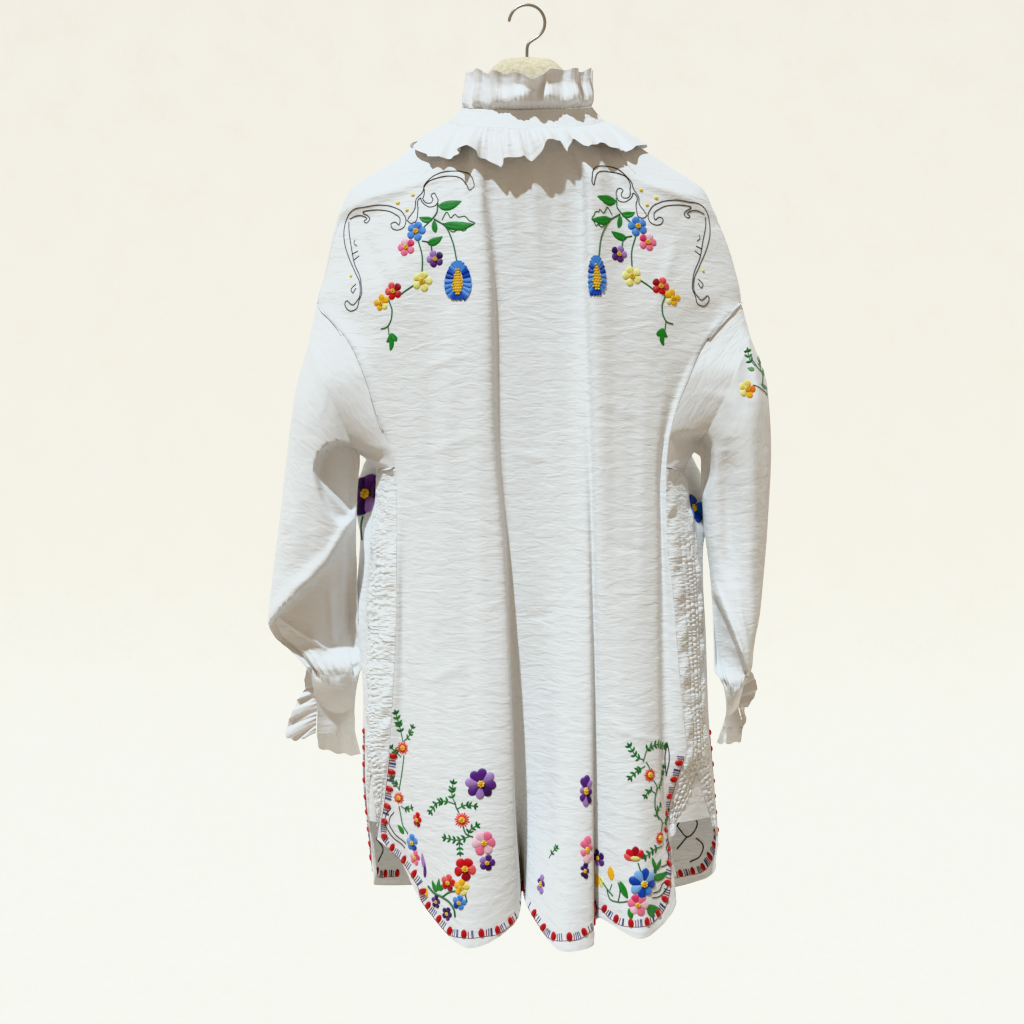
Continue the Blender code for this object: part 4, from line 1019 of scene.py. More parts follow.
SLEEVE_CREASES = dict(
    left=[
        (-243, 380, -232, 470, 8, 1.6), (-214, 350, -204, 440, 9, 1.8), (-196, 372, -186, 442, 6, -1.6),
        (-250, 500, -240, 600, 8, 1.4), (-230, 520, -222, 590, 7, -1.4), (-180, 560, -186, 660, 4, 4.0),
        (-192, 580, -196, 668, 4, 3.6), (-206, 610, -204, 672, 4, 3.2),
        (-262, 640, -196, 686, 2.2, 2.2), (-228, 650, -214, 684, 4, 2.6),
        (-186, 452, -178, 486, 3, 2.0), (-246, 610, -226, 600, 4, 1.0),
        (-258, 560, -238, 548, 4, -0.8)],
    right=[
        (228, 330, 240, 430, 5, 3.2), (236, 330, 250, 420, 4, -3.0), (214, 330, 214, 430, 6, 1.6),
        (228, 420, 238, 590, 12, 6.0), (240, 440, 246, 600, 6, -2.6), (205, 465, 213, 600, 9, -9.0),
        (228, 560, 240, 690, 6, 2.6), (212, 600, 236, 700, 3, 2.6), (204, 640, 226, 700, 3, 2.4),
        (196, 400, 206, 424, 4, 1.2), (200, 560, 222, 640, 5, -2.0), (206, 668, 222, 676, 4, 1.6)])


def sleeve_body(turn, down, side):
    """Points of a sleeve below the armhole: turn goes round it, down runs to the cuff (1)."""
    rows = np.array(SLEEVE[side], float)
    place = np.linspace(0, 1, len(rows) + 1)[1:]
    span = np.maximum(down, place[0])
    value = [follow(place, rows[:, k], span) for k in range(8)]
    outer_x, outer_drop, inner_x, inner_drop, middle, behind, before, sag = value
    angle = 2 * np.pi * turn
    share = 0.5 * (1 - np.cos(angle))
    swing = np.sin(angle)
    x = outer_x + (inner_x - outer_x) * share
    drop = outer_drop + (inner_drop - outer_drop) * share + sag * swing ** 2
    y = middle - np.where(swing > 0, behind, before) * swing
    facing = np.clip(swing * 1.6, 0, 1)
    folds = crease_height(np.stack([x, y, -drop], -1), SLEEVE_CREASES[side])
    folds = folds * facing + folds * 0.4 * np.clip(-swing * 1.6, 0, 1)
    under = blouse(x, drop, side) * (1 - 0.5 * smooth((down - 0.78) / 0.20))
    y = y + facing * (hollow(x, drop, side) + under) - folds * np.sign(swing)
    near = smooth((down - 0.80) / 0.20)
    gather = near * (2.0 * np.sin(2 * np.pi * 7 * turn) + 1.5 * soft_wave(turn, 26, 71) * (1 - 0.35 * near))
    x = x + gather * np.cos(angle) * np.sign(outer_x - inner_x)
    return np.stack([x, y - gather * swing, -drop], -1)


def sleeve_grid(side):
    """A sleeve's grid, its first row on the armhole and its last on the cuff."""
    turn, start = armhole(side, 130)
    down = np.linspace(0, 1, 176)[:, None]
    body = sleeve_body(turn[None] + 0 * down, down + 0 * turn[None], side)
    blend = smooth(down * len(SLEEVE[side]))[..., None]
    point = start[None] * (1 - blend) + body * blend
    seam = np.roll(start, -1, axis=0) - np.roll(start, 1, axis=0)
    leave = unit(body[8] - start)
    along = (leave * seam).sum(-1, keepdims=True) / (seam * seam).sum(-1, keepdims=True)
    point[0] = start + unit(leave - seam * along) * SEAM
    full = 1.1 if side == "right" else 0.3
    pleats = full * np.sin(2 * np.pi * 26 * turn)[None]
    pleats = pleats * np.exp(-down / 0.07) * smooth((down - 0.006) / 0.03)
    pleats = pleats * np.exp(-(np.minimum(turn, 1 - turn) / 0.09) ** 2)[None]
    grid = make_grid(point, closed=True)
    if (grid.out * (point - point.mean(axis=1, keepdims=True))).sum() < 0:
        pleats = pleats[:, ::-1]
        grid = make_grid(point[:, ::-1], closed=True)
    small = crinkles(point.shape[:2], cell=(2.4, 2.4), seed=81, count=260, length=34, width=3.2,
                     depth=0.22, tilt=0.6)
    return relief(grid, pleats + small * smooth(down / 0.04), closed=True)


def loop_points(table, count):
    """A smooth open curve through the table's (x, y) points, with even steps along it."""
    points = np.array(table, float)
    t = run_length(points, 0)
    at = np.linspace(0, t[-1], count)
    return np.stack([follow(t, points[:, 0], at), follow(t, points[:, 1], at)], -1)


def curve_out(points, centre):
    """Level direction away from the loop's middle, square to the loop."""
    along = np.gradient(points, axis=0)
    out = unit(np.stack([along[:, 1], -along[:, 0]], -1))
    return out * np.sign((out * (points - centre)).sum())


def faced(point, centre):
    """The grid with its columns turned round where needed, so that it faces away from a centre."""
    grid = make_grid(point)
    if ((point - centre) * grid.out).sum() < 0:
        grid = make_grid(point[:, ::-1])
    return grid


def calm_ring(points, waves):
    """A closed ring of points with only its first few waves round kept."""
    spectrum = np.fft.rfft(points, axis=0)
    spectrum[waves + 1:] = 0
    return np.fft.irfft(spectrum, len(points), axis=0)


def cuff_band(table, foot, top, centre):
    """The open cuff: from the sleeve's end, calmed to its first three waves, down to the cuff's foot."""
    bottom = np.column_stack([table, np.full(len(table), -float(foot))])
    s = np.linspace(0, 1, 30)[:, None, None]
    calm = calm_ring(top, 3)
    point = calm[None] * (1 - s) + bottom[None] * s + (top - calm)[None] * (1 - smooth(s / 0.16))
    point[..., 1] += (bottom[:, 1] - calm[:, 1]) * (s ** 1.6 - s)[..., 0]
    height = crinkles(point.shape[:2], cell=(1.8, 1.5), seed=91, count=40, length=24, width=2.0,
                      depth=0.3, tilt=0.8)
    return relief(faced(point, centre), height), bottom


def cuff_hem_frill(side, centre):
    """The frill below a cuff: it swings out in soft waves and is longest in its middle."""
    foot = CUFF_FEET[side]
    share = np.linspace(0, 1, 180)[None]
    edge = loop_points(CUFF[side], share.size)
    h = np.linspace(0, 1, 13)[:, None]
    swing = 1.8 * h ** 0.8 * soft_wave(share, 5, 92) + 3 * h
    swing = swing + 0.6 * soft_wave(share, 34, 93) * np.exp(-h / 0.35) + 0.4 * smooth((h - 0.9) / 0.06)
    spread = edge[None] + curve_out(edge, centre[:2])[None] * swing[..., None]
    drop = foot + SEAM + (17 + CUFF_FLAP[side] * np.sin(np.pi * share)) * h
    drop = drop + 1.2 * h * soft_wave(share, 6, 94)
    spread[..., 1] += CUFF_LEAN * (drop - foot)
    return faced(np.concatenate([spread, -drop[..., None]], -1), centre)


def cuff_edge_frill(side, top, bottom):
    """The frill down a cuff's opening: straight from the opening's edge to the table's outer edge."""
    rim = loop_points(CUFF_EDGE[side], 96)
    share = np.linspace(0, 1, len(rim))
    root = top * (1 - share[:, None]) + bottom * share[:, None]
    far = np.column_stack([rim[:, 0], root[:, 1] - 2, -rim[:, 1]])
    reach = np.linspace(0, 1, 16)[:, None]
    share = share[None]
    fold = 2.6 * np.tanh(1.3 * soft_wave(share, 5, 95, 0.9)) * reach ** 0.7 + 6 * reach
    fold = fold + 0.6 * soft_wave(share + 0.05 * reach, 13, 96, 0.8) * np.exp(-reach / 0.5)
    flat = root[None] * (1 - reach[..., None]) + far[None] * reach[..., None]
    flat[..., 0] += np.sign(rim[0, 0]) * 0.8
    flat[..., 1] += fold
    flat[..., 2] += 1.5 * reach * soft_wave(share, 9, 97)
    return make_grid(flat)


def cuff_grids(side, sleeve_end):
    """The open cuff band, its hem frill and the frill down its opening edge."""
    foot = CUFF_FEET[side]
    count = len(sleeve_end)
    band = loop_points(CUFF[side], count)
    centre = np.append(band.mean(axis=0), -(foot - CUFF_HEIGHT / 2))
    start = int(np.argmin(np.linalg.norm(sleeve_end[:, :2] - band[0], axis=1)))
    rolled = np.roll(sleeve_end, -start, axis=0)
    quarter = band[count // 4]
    miss, other_miss = (np.linalg.norm(rolled[k, :2] - quarter) for k in (count // 4, -count // 4))
    if miss > other_miss:
        rolled = np.roll(rolled[::-1], 1, axis=0)
    top = rolled - np.array([0, 0, SEAM])
    band_grid, bottom = cuff_band(band, foot, top, centre)
    return band_grid, cuff_hem_frill(side, centre), cuff_edge_frill(side, top[0], bottom[0])


def make_hanger():
    """The padded bar: upright rings whose tops and depths follow the table from tip to tip."""
    half = np.array(HANGER, float)
    table = np.concatenate([half[:0:-1] * np.array([-1, 1, 1, 1]), half])
    way = np.linspace(table[0, 0], table[-1, 0], 190)[:, None]
    top, height, depth = (follow(table[:, 0], table[:, k], way) for k in (1, 2, 3))
    angle = np.linspace(0, 2 * np.pi, 48, endpoint=False)[None, :]
    lump = 0.7 * np.sin(5 * angle + way / 9) * np.sin(way / 6.5)
    y = (depth - 0.4 + lump * 0.5) * np.cos(angle)
    z = -(top + height / 2) + (height / 2 - 0.3) * np.sin(angle) + 0.3 * lump * np.sin(angle)
    point = np.stack([way + 0 * angle, y, z], -1)
    ends = point[[0, -1]]
    tips = ends.mean(axis=1, keepdims=True) * 0.98 + ends * 0.02
    point = np.concatenate([tips[:1], point, tips[1:]])
    faces = tube_faces(*point.shape[:2])
    flat = point.reshape(-1, 3)
    corner = flat[faces]
    normal = np.cross(corner[:, 2] - corner[:, 0], corner[:, 3] - corner[:, 1])
    if (normal * (corner.mean(axis=1) - flat.mean(axis=0))).sum() < 0:
        faces = faces[:, ::-1]
    bar = add_object("padded_bar", flat, faces, flat[faces][..., [0, 2]] * MM, FLEECE, sharp=80)
    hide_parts("hanger_bar")


def tube(path, radius, sides, frame_out):
    """A ring of sides carried along a path: P = path + r (side cos a + out sin a), ends closed."""
    along = unit(np.gradient(path, axis=0))
    side = unit(np.cross(along, frame_out))
    out = np.cross(side, along)
    angle = np.linspace(0, 2 * np.pi, sides, endpoint=False)[None, :, None]
    radius = radius[:, None, None]
    point = path[:, None] + radius * (side[:, None] * np.cos(angle) + out[:, None] * np.sin(angle))
    around = np.arange(sides)[None] / sides * 2 * np.pi * radius.mean()
    uv = np.stack(np.broadcast_arrays(around, run_length(path, 0)[:, None]), -1).reshape(-1, 2)
    faces = tube_faces(len(path), sides)[:, ::-1]
    return point.reshape(-1, 3), faces, uv[faces] * MM


def make_hook():
    """The wire hook: a straight stem out of the padding, a bend, and two thirds of a circle."""
    radius = HOOK_BEND + HOOK_WIRE
    angle = np.radians(np.arange(-62, 181, 3.0))
    curl = np.column_stack([radius * np.cos(angle), radius * np.sin(angle) - HOOK_BEND])
    flat = np.concatenate([loop_points(HOOK_STEM, 24), curl[2:]])
    path = np.column_stack([flat[:, 0], 0 * flat[:, 0], flat[:, 1]])
    wire = np.full(len(path), HOOK_WIRE)
    wire[-1], wire[-2] = 0.9, 1.5
    points, faces, uv = tube(path, wire, 16, np.tile([0.0, -1.0, 0.0], (len(path), 1)))
    hook = add_object("wire_hook", points, faces, uv, STEEL, sharp=80)
    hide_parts("hanger_hook")


def make_cloth():
    """All the cloth pieces; the grids that carry embroidery are handed back by name."""
    sides = ("left", "right")
    grids = {"back": back_grid()}
    cloth_piece("back_cloth", "back_panel", "gathered", "hanger_bar", grids["back"], COTTON, tuck=sides)
    grids["front"], keep = front_grid()
    cloth_piece("front_cloth", "front_panel", "gathered", "hanger_bar", grids["front"], COTTON,
                keep=keep, tuck=sides)
    for side in sides:
        cloth_piece("yoke_cloth_" + side, "shoulder_yoke_" + side, "hung", "hanger_bar",
                    yoke_grid(side), COTTON, tuck=("foot", *sides))
        grid, keep = side_grid(side)
        cloth_piece("shirred_strip_" + side, "side_panel_" + side, "gathered", "back_cloth",
                    grid, SHIRRED, keep=keep)
        cloth_piece("slit_gusset_cloth_" + side, "slit_gusset_" + side, "hung", "back_cloth",
                    gusset_grid(side), COTTON)
    grids["neckband"] = neckband_grid()
    cloth_piece("neckband_cloth", "neckband", "hung", "back_cloth", grids["neckband"], COTTON)
    cloth_piece("collar_frill_cloth", "collar_ruffle", "gathered", "neckband_cloth",
                collar_frill_grid(), FRILL, thick=FRILL_CLOTH)
    cloth_piece("shoulder_frill_cloth", "shoulder_ruffle", "gathered", "neckband_cloth",
                shoulder_frill_grid(), FRILL, thick=FRILL_CLOTH)
    for side in sides:
        grids["sleeve_" + side] = sleeve_grid(side)
        cloth_piece("sleeve_cloth_" + side, "sleeve_" + side, "hung", "back_cloth",
                    grids["sleeve_" + side], COTTON, closed=True, tuck=("top",))
        band, hem, side_frill = cuff_grids(side, grids["sleeve_" + side].point[-1])
        cuff = "cuff_cloth_" + side
        cloth_piece(cuff, "cuff_" + side, "hung", "sleeve_cloth_" + side, band, COTTON)
        cloth_piece("cuff_frill_" + side, "cuff_ruffle_" + side, "gathered", cuff, hem, FRILL,
                    thick=FRILL_CLOTH)
        cloth_piece("cuff_edge_frill_" + side, "cuff_edge_ruffle_" + side, "gathered", cuff,
                    side_frill, FRILL, thick=FRILL_CLOTH)
    return grids


# Threads, as screen colours.
THREADS = dict(
    stem=(50, 116, 66), leaf=(44, 136, 50), shade_leaf=(38, 110, 56), pale_leaf=(120, 168, 112),
    ink=(40, 30, 30), red=(206, 28, 38), crimson=(158, 20, 36), salmon=(238, 92, 92),
    coral=(234, 84, 70), pink=(244, 124, 156), rose=(226, 70, 114), blush=(250, 202, 216),
    blue=(84, 142, 222), sky=(132, 178, 234), deep=(22, 68, 172), purple=(96, 52, 130),
    plum=(64, 38, 92), lilac=(172, 132, 198), yellow=(252, 222, 104), white=(222, 219, 211),
    lemon=(246, 238, 146), amber=(252, 188, 44), orange=(240, 128, 36), navy=(66, 76, 136))

Cloth = namedtuple("Cloth", "grid shown depth")
Motif = namedtuple("Motif", "flowers leaves stems sprigs daisies knots", defaults=((),) * 6)

# Places are pixels of the photograph. Flowers: (x, y, radius, petal threads from the top on, turn,
# squash). Leaves: (root, tip, width, thread). Stems: (thread, width in mm, points). Sprigs: (leaf in
# mm, points). Daisies: (x, y, radius). Knots: (x, y, radius in mm, thread).
SHOULDER = Motif(
    flowers=(
        (416, 231, 9.8, "blue blue blue blue blue", 0.3, 1),
        (422, 281, 9.8, "lemon lemon lemon lemon lemon", 0.3, 1),
        (406, 247, 9.0, "blush rose pink pink pink", -0.35, 1),
        (435, 259, 8.4, "lilac plum purple purple lilac", -0.35, 1),
        (393, 291, 8.8, "salmon crimson red red salmon", -0.35, 1),
        (381, 303, 8.0, "amber amber lemon amber amber", -0.2, 1)),
    leaves=(
        ((438, 206), (462, 201), 9, "leaf"), ((443, 224), (475, 224), 8, "leaf"),
        ((433, 219), (419, 217), 6, "leaf"), ((434, 220), (436, 233), 5, "leaf"),
        ((427, 243), (443, 236), 7, "leaf"), ((391, 333), (386, 342), 4.5, "leaf"),
        ((391, 333), (397, 341), 4.5, "leaf"), ((391, 335), (390, 351), 4.5, "leaf")),
    stems=(
        ("ink", 1.0, (
        (408, 219), (415, 208), (420, 195), (425, 184), (432, 177), (443, 172), (455, 171),
        (467, 173), (473, 180), (474, 187), (470, 190), (466, 184), (462, 179), (450, 176),
        (437, 178), (428, 182), (424, 188), (424, 195), (427, 203), (432, 202), (433, 199),
        (431, 195), (434, 193), (438, 199), (436, 205), (430, 207), (424, 204), (421, 198),
        (418, 210), (415, 222), (410, 223), (407, 220))),
        ("ink", 1.0, (
        (349, 214), (353, 210), (365, 207), (380, 205), (393, 207), (402, 212), (406, 220),
        (404, 227), (398, 230), (392, 228), (391, 224), (395, 222), (399, 225), (400, 219),
        (393, 213), (380, 210), (363, 213), (368, 216), (370, 219), (366, 223), (364, 221),
        (367, 219), (363, 216), (356, 216), (350, 219))),
        ("ink", 1.0, (
        (349, 214), (345, 225), (345, 245), (349, 258), (355, 272), (360, 285), (359, 298),
        (353, 305), (346, 301), (345, 305), (350, 311), (357, 308), (361, 296), (361, 283),
        (354, 262), (351, 245), (349, 222))),
        ("ink", 1.0, ((356, 284), (351, 290), (353, 293), (356, 288))),
        ("ink", 1.0, ((352, 254), (358, 251))), ("ink", 1.0, ((354, 260), (359, 256))),
        ("ink", 0.8, ((355, 240), (354, 243), (357, 246))),
        ("shade_leaf", 1.1, (
        (442, 220), (447, 212), (451, 218), (455, 214), (458, 217), (464, 216), (470, 221),
        (475, 223), (468, 227), (464, 231), (459, 229), (453, 232), (448, 228), (443, 223))),
        ("stem", 1.5, ((438, 203), (437, 212), (432, 219), (424, 227))),
        ("stem", 1.5, ((434, 219), (445, 226), (452, 240), (457, 262))),
        ("stem", 1.5, ((418, 240), (422, 255), (422, 273))),
        ("stem", 1.5, ((422, 241), (430, 243), (432, 252))),
        ("stem", 1.5, ((414, 285), (405, 291), (399, 296))), ("stem", 1.2, ((388, 326), (389, 335))),
        ("stem", 1.5, ((389, 300), (392, 312), (391, 320), (387, 327), (381, 329)))),
    knots=(
        (398, 203, 2.3, "yellow"), (413, 195, 2.0, "yellow"), (407, 210, 2.0, "yellow"),
        (351, 276, 2.0, "yellow")))
LOWER_LEFT = Motif(
    flowers=(
        (481, 784, 14.5, "purple lilac purple plum lilac purple lilac purple", 0.1, 1),
        (484, 843, 11.5, "pink pink blush pink blush blush", 0.5, 1),
        (487, 863, 7.8, "purple purple plum purple lilac", 0.3, 1),
        (465, 869, 11, "red salmon crimson red red", 0.5, 1),
        (448, 883, 8.0, "salmon red crimson red salmon", 0.2, 1),
        (461, 888, 7.8, "amber yellow lemon amber amber", 0.1, 1),
        (459, 903, 7.2, "blue blue blue deep blue", 0.2, 1),
        (436, 902, 6.6, "plum purple plum plum purple", 0.1, 0.8),
        (447, 914, 6.6, "plum plum purple plum plum", 0.4, 0.9),
        (417, 820, 7.5, "red red crimson red salmon", 0.2, 0.7),
        (412, 843, 8.5, "blue blue deep blue sky", 0.0, 0.8),
        (415, 858, 7.5, "pink rose pink pink blush", 0.2, 0.8)),
    leaves=(
        ((437, 892), (432, 880), 5, "leaf"), ((438, 891), (439, 878), 4.5, "leaf"),
        ((438, 889), (445, 883), 4.5, "leaf"), ((425, 878), (425, 862), 3.5, "purple"),
        ((427, 898), (427, 888), 3, "amber"), ((404, 834), (398, 824), 5, "leaf"),
        ((424, 868), (422, 852), 4, "lilac")),
    stems=(
        ("stem", 2.2, ((428, 886), (433, 892), (442, 897), (450, 903), (454, 910), (455, 917))),
        ("stem", 1.8, ((442, 897), (450, 892), (457, 891))), ("stem", 1.4, ((465, 894), (467, 902))),
        ("stem", 1.5, ((455, 802), (456, 807), (459, 813))),
        ("stem", 1.5, ((463, 826), (466, 834), (473, 837))),
        ("stem", 1.3, ((404, 755), (402, 772), (399, 790))),
        ("stem", 1.3, ((399, 806), (402, 822), (408, 834))),
        ("ink", 1.0, ((391, 808), (385, 820), (391, 835), (405, 848))),
        ("ink", 1.0, ((394, 812), (389, 822), (395, 834), (406, 844)))),
    sprigs=(
        (4.2, ((455, 804), (444, 801), (437, 803), (431, 811))),
        (4.2, ((455, 803), (452, 796), (453, 784))), (3.8, ((457, 809), (466, 805), (474, 806))),
        (4.2, ((470, 836), (458, 840), (446, 838))), (3.8, ((459, 840), (460, 852))),
        (4.0, ((468, 835), (470, 830), (476, 826))), (4.2, ((403, 742), (400, 728), (396, 714))),
        (3.8, ((404, 741), (409, 736), (412, 728))), (3.6, ((401, 757), (396, 752), (392, 748))),
        (3.6, ((400, 790), (396, 785), (393, 779))), (3.6, ((401, 806), (406, 809), (411, 808)))),
    daisies=((462, 820, 7.6), (403, 748, 6.8), (399, 798, 6.2)))
LOWER_RIGHT = Motif(
    flowers=(
        (586, 791, 15.5, "purple lilac purple plum lilac purple lilac purple", 0.1, 0.36),
        (587, 850, 13, "pink pink blush blush pink pink", 0.2, 0.42),
        (585, 871, 8, "plum purple plum plum purple", 0.3, 0.5),
        (541, 884, 9.5, "lilac purple lilac lilac purple", 0.2, 0.5),
        (644, 884, 14.2, "deep sky deep blue deep sky deep sky", 0.2, 1),
        (638, 905, 10.5, "rose pink blush pink blush pink", -0.4, 1),
        (598, 858, 8.2, "plum plum purple lilac purple", -0.3, 1)),
    leaves=(
        ((597, 873), (597, 887), 7, "amber"), ((601, 876), (602, 888), 4.5, "lemon"),
        ((610, 866), (612, 881), 6.5, "amber"), ((620, 881), (628, 899), 6, "leaf"),
        ((653, 877), (667, 871), 6, "leaf"), ((648, 905), (661, 909), 6, "leaf"),
        ((647, 905), (655, 917), 6.5, "leaf"), ((629, 908), (632, 919), 5, "leaf"),
        ((656, 868), (652, 857), 4.5, "leaf"), ((656, 870), (661, 858), 4.5, "leaf"),
        ((655, 874), (655, 863), 4, "shade_leaf")),
    stems=(
        ("stem", 1.4, ((646, 762), (649, 767), (650, 770))),
        ("stem", 1.3, ((654, 781), (657, 787), (655, 797), (655, 808))),
        ("stem", 1.3, ((655, 808), (658, 816), (662, 822), (661, 831))),
        ("stem", 1.4, ((638, 863), (641, 872))), ("stem", 1.4, ((600, 878), (608, 890), (613, 896))),
        ("stem", 1.2, ((612, 884), (610, 890))), ("stem", 1.4, ((618, 902), (620, 890), (618, 882))),
        ("stem", 1.4, ((607, 890), (610, 899), (618, 902), (629, 901))),
        ("stem", 1.4, ((652, 880), (660, 880), (667, 873))),
        ("ink", 1.0, ((667, 743), (669, 752), (669, 762), (666, 776))),
        ("ink", 1.0, ((667, 743), (665, 755), (666, 776))),
        ("ink", 1.0, ((669, 842), (666, 848), (668, 853), (668, 862), (661, 867))),
        ("ink", 1.0, ((668, 880), (662, 884), (660, 890), (653, 893))),
        ("ink", 1.0, ((668, 886), (660, 896), (652, 898)))),
    sprigs=(
        (4.6, ((643, 762), (647, 750), (655, 745), (664, 746))),
        (4.2, ((644, 760), (637, 757), (630, 747))), (4.0, ((645, 766), (637, 771), (631, 777))),
        (3.8, ((656, 790), (661, 783), (663, 768))), (3.8, ((655, 793), (649, 790), (646, 795))),
        (3.8, ((659, 820), (656, 812), (660, 806))), (3.8, ((662, 824), (667, 818), (669, 812))),
        (4.6, ((662, 846), (655, 849), (646, 856))), (3.4, ((549, 858), (552, 853), (556, 848)))),
    daisies=((650, 775, 7.0), (660, 838, 6.6)))
SLEEVE_MOTIF = Motif(
    flowers=((747, 389, 9.0, "yellow orange amber lemon lemon", 0.2, 1),),
    leaves=(
        ((754, 368), (747, 368), 4.5, "pale_leaf"), ((762, 375), (767, 365), 4, "leaf"),
        ((761, 384), (767, 388), 4, "leaf")),
    stems=(
        ("stem", 1.4, ((752, 360), (757, 367), (762, 373), (762, 386))),
        ("stem", 1.3, ((753, 385), (760, 388), (767, 395)))),
    sprigs=((5.0, ((755, 366), (750, 360), (748, 352))), (5.0, ((761, 372), (759, 362), (761, 353)))))
BORDER_LEFT = (
    (387, 752), (387, 780), (384, 806), (381, 826), (382, 838), (389, 850), (399, 861), (409, 872),
    (417, 885), (421, 900), (427, 919), (435, 930), (447, 936), (464, 938), (481, 937), (498, 934),
    (511, 925))
BORDER_MIDDLE = ((534, 925), (546, 936), (563, 941), (580, 939), (589, 933))
BORDER_RIGHT = (
    (599, 908), (608, 917), (620, 925), (638, 927), (655, 921), (665, 908), (670, 890), (671, 870),
    (670, 850), (667, 833), (668, 812), (672, 798), (676, 785), (681, 772), (684, 757))
# Flowers of the front that show past its side, and the stem below one.
SIDE_FLOWERS = (
    ((366, 494), 23, "purple plum lilac plum purple plum"),
    ((693, 508), 15, "deep blue deep blue deep"))
SIDE_STEM = ((363, 516), (361, 528), (362, 540))
# The pod and the side-on flower, the line about which a shoulder's motif is mirrored and how much
# higher its mirror image sits, and the scrolls that show on the inside of the front.
PODS = {1: ((458, 281), 1.0), -1: ((597, 276), 0.68)}   # (place, squash) by flip
TULIP = (635, 855)
MIRROR_MIDDLE, MIRROR_RISE = 527, 5
INSIDE_SCROLLS = (
    ((677, 826), (687, 812), (697, 822), (687, 837), (677, 826)), ((687, 837), (677, 849)),
    ((696, 838), (703, 845), (700, 856), (690, 862)), ((376, 838), (383, 850), (378, 862)))
FOLD_FROM = 600            # left of this pixel the right shoulder's motif turns into a fold
FOLD_SQUEEZE = 0.6         # and by how much it is squeezed there
BORDER_STEP = 17.8         # from one red knot of the border to the next
SINK = 0.2                 # how far the edge of a stitched shape lies in the cloth
STEM_FULL = 1.25           # how much wider a stem is stitched than its table says


def seen(point):
    """Place in the photograph of points: the pinhole projection from the eye."""
    far = PIXEL * (EYE[1] - point[..., 1]) / EYE[1]
    return MIDDLE + np.stack([point[..., 0] - EYE[0], EYE[2] - point[..., 2]], -1) / far[..., None]


def ready(grid, turned=False):
    """A grid ready for sewing, with where the photograph shows its points and how deep they lie.

    turned looks at the dress from its other side, so that the same places serve for its front.
    """
    if grid.uv.shape[1] > grid.point.shape[1]:
        grid = Grid(*(np.concatenate([part, part[:, :1]], axis=1) for part in grid[:2]), grid.uv)
    way = np.array([-1, -1, 1]) if turned else 1
    look = grid.point * way
    facing = ((EYE - look) * grid.out * way).sum(-1) > 0
    return Cloth(grid, seen(look), np.where(facing, look[..., 1], 9999.0))


def between(values, at):
    """Values of a grid between its rows and columns, straight in each cell."""
    rows, columns = values.shape[:2]
    i, j = np.clip(at[..., 0], 0, rows - 1.001), np.clip(at[..., 1], 0, columns - 1.001)
    i0, j0 = i.astype(int), j.astype(int)
    f, g = (i - i0)[..., None], (j - j0)[..., None]
    above = values[i0, j0] * (1 - g) + values[i0, j0 + 1] * g
    below = values[i0 + 1, j0] * (1 - g) + values[i0 + 1, j0 + 1] * g
    return above * (1 - f) + below * f


def find(cloth, places):
    """Rows and columns at places of the photograph: the nearest point in front, then Newton steps."""
    found = []
    for spot in np.atleast_2d(np.asarray(places, float)):
        cost = ((cloth.shown - spot) ** 2).sum(-1) + 0.35 * cloth.depth
        at = np.array(np.unravel_index(np.argmin(cost), cost.shape), float)
        for _ in range(4):
            down = between(cloth.shown, at + (0.5, 0)) - between(cloth.shown, at - (0.5, 0))
            right = between(cloth.shown, at + (0, 0.5)) - between(cloth.shown, at - (0, 0.5))
            miss = spot - between(cloth.shown, at)
            step = np.linalg.lstsq(np.stack([down, right], -1), miss, rcond=None)[0]
            at = np.clip(at + np.clip(step, -1.2, 1.2), 0.5, np.array(cost.shape) - 1.6)
        found.append(at)
    return np.array(found)


def steps(grid, at, vector):
    """Steps in rows and columns that carry places along the cloth by a vector (least squares)."""
    at = np.clip(at, 0.5, np.array(grid.point.shape[:2]) - 1.6)
    down = between(grid.point, at + (0.5, 0)) - between(grid.point, at - (0.5, 0))
    right = between(grid.point, at + (0, 0.5)) - between(grid.point, at - (0, 0.5))
    a, b, c = (down * down).sum(-1), (down * right).sum(-1), (right * right).sum(-1)
    p, q = (down * vector).sum(-1), (right * vector).sum(-1)
    return np.stack([c * p - b * q, a * q - b * p], -1) / np.maximum(a * c - b * b, 1e-3)[..., None]


def shift(grid, at, right, down):
    """Places that lie so many millimetres to the right and down along the cloth from one place."""
    out = unit(between(grid.out, at))
    fall = unit(np.array([0, 0, -1.0]) + out * out[2])
    across = np.cross(out, fall)
    vector = np.asarray(right)[..., None] * across + np.asarray(down)[..., None] * fall
    return at + steps(grid, at, vector)


def dye(name, share=1.0):
    """Linear colour of a thread, darkened by a share."""
    return linear(*THREADS[name]) * share


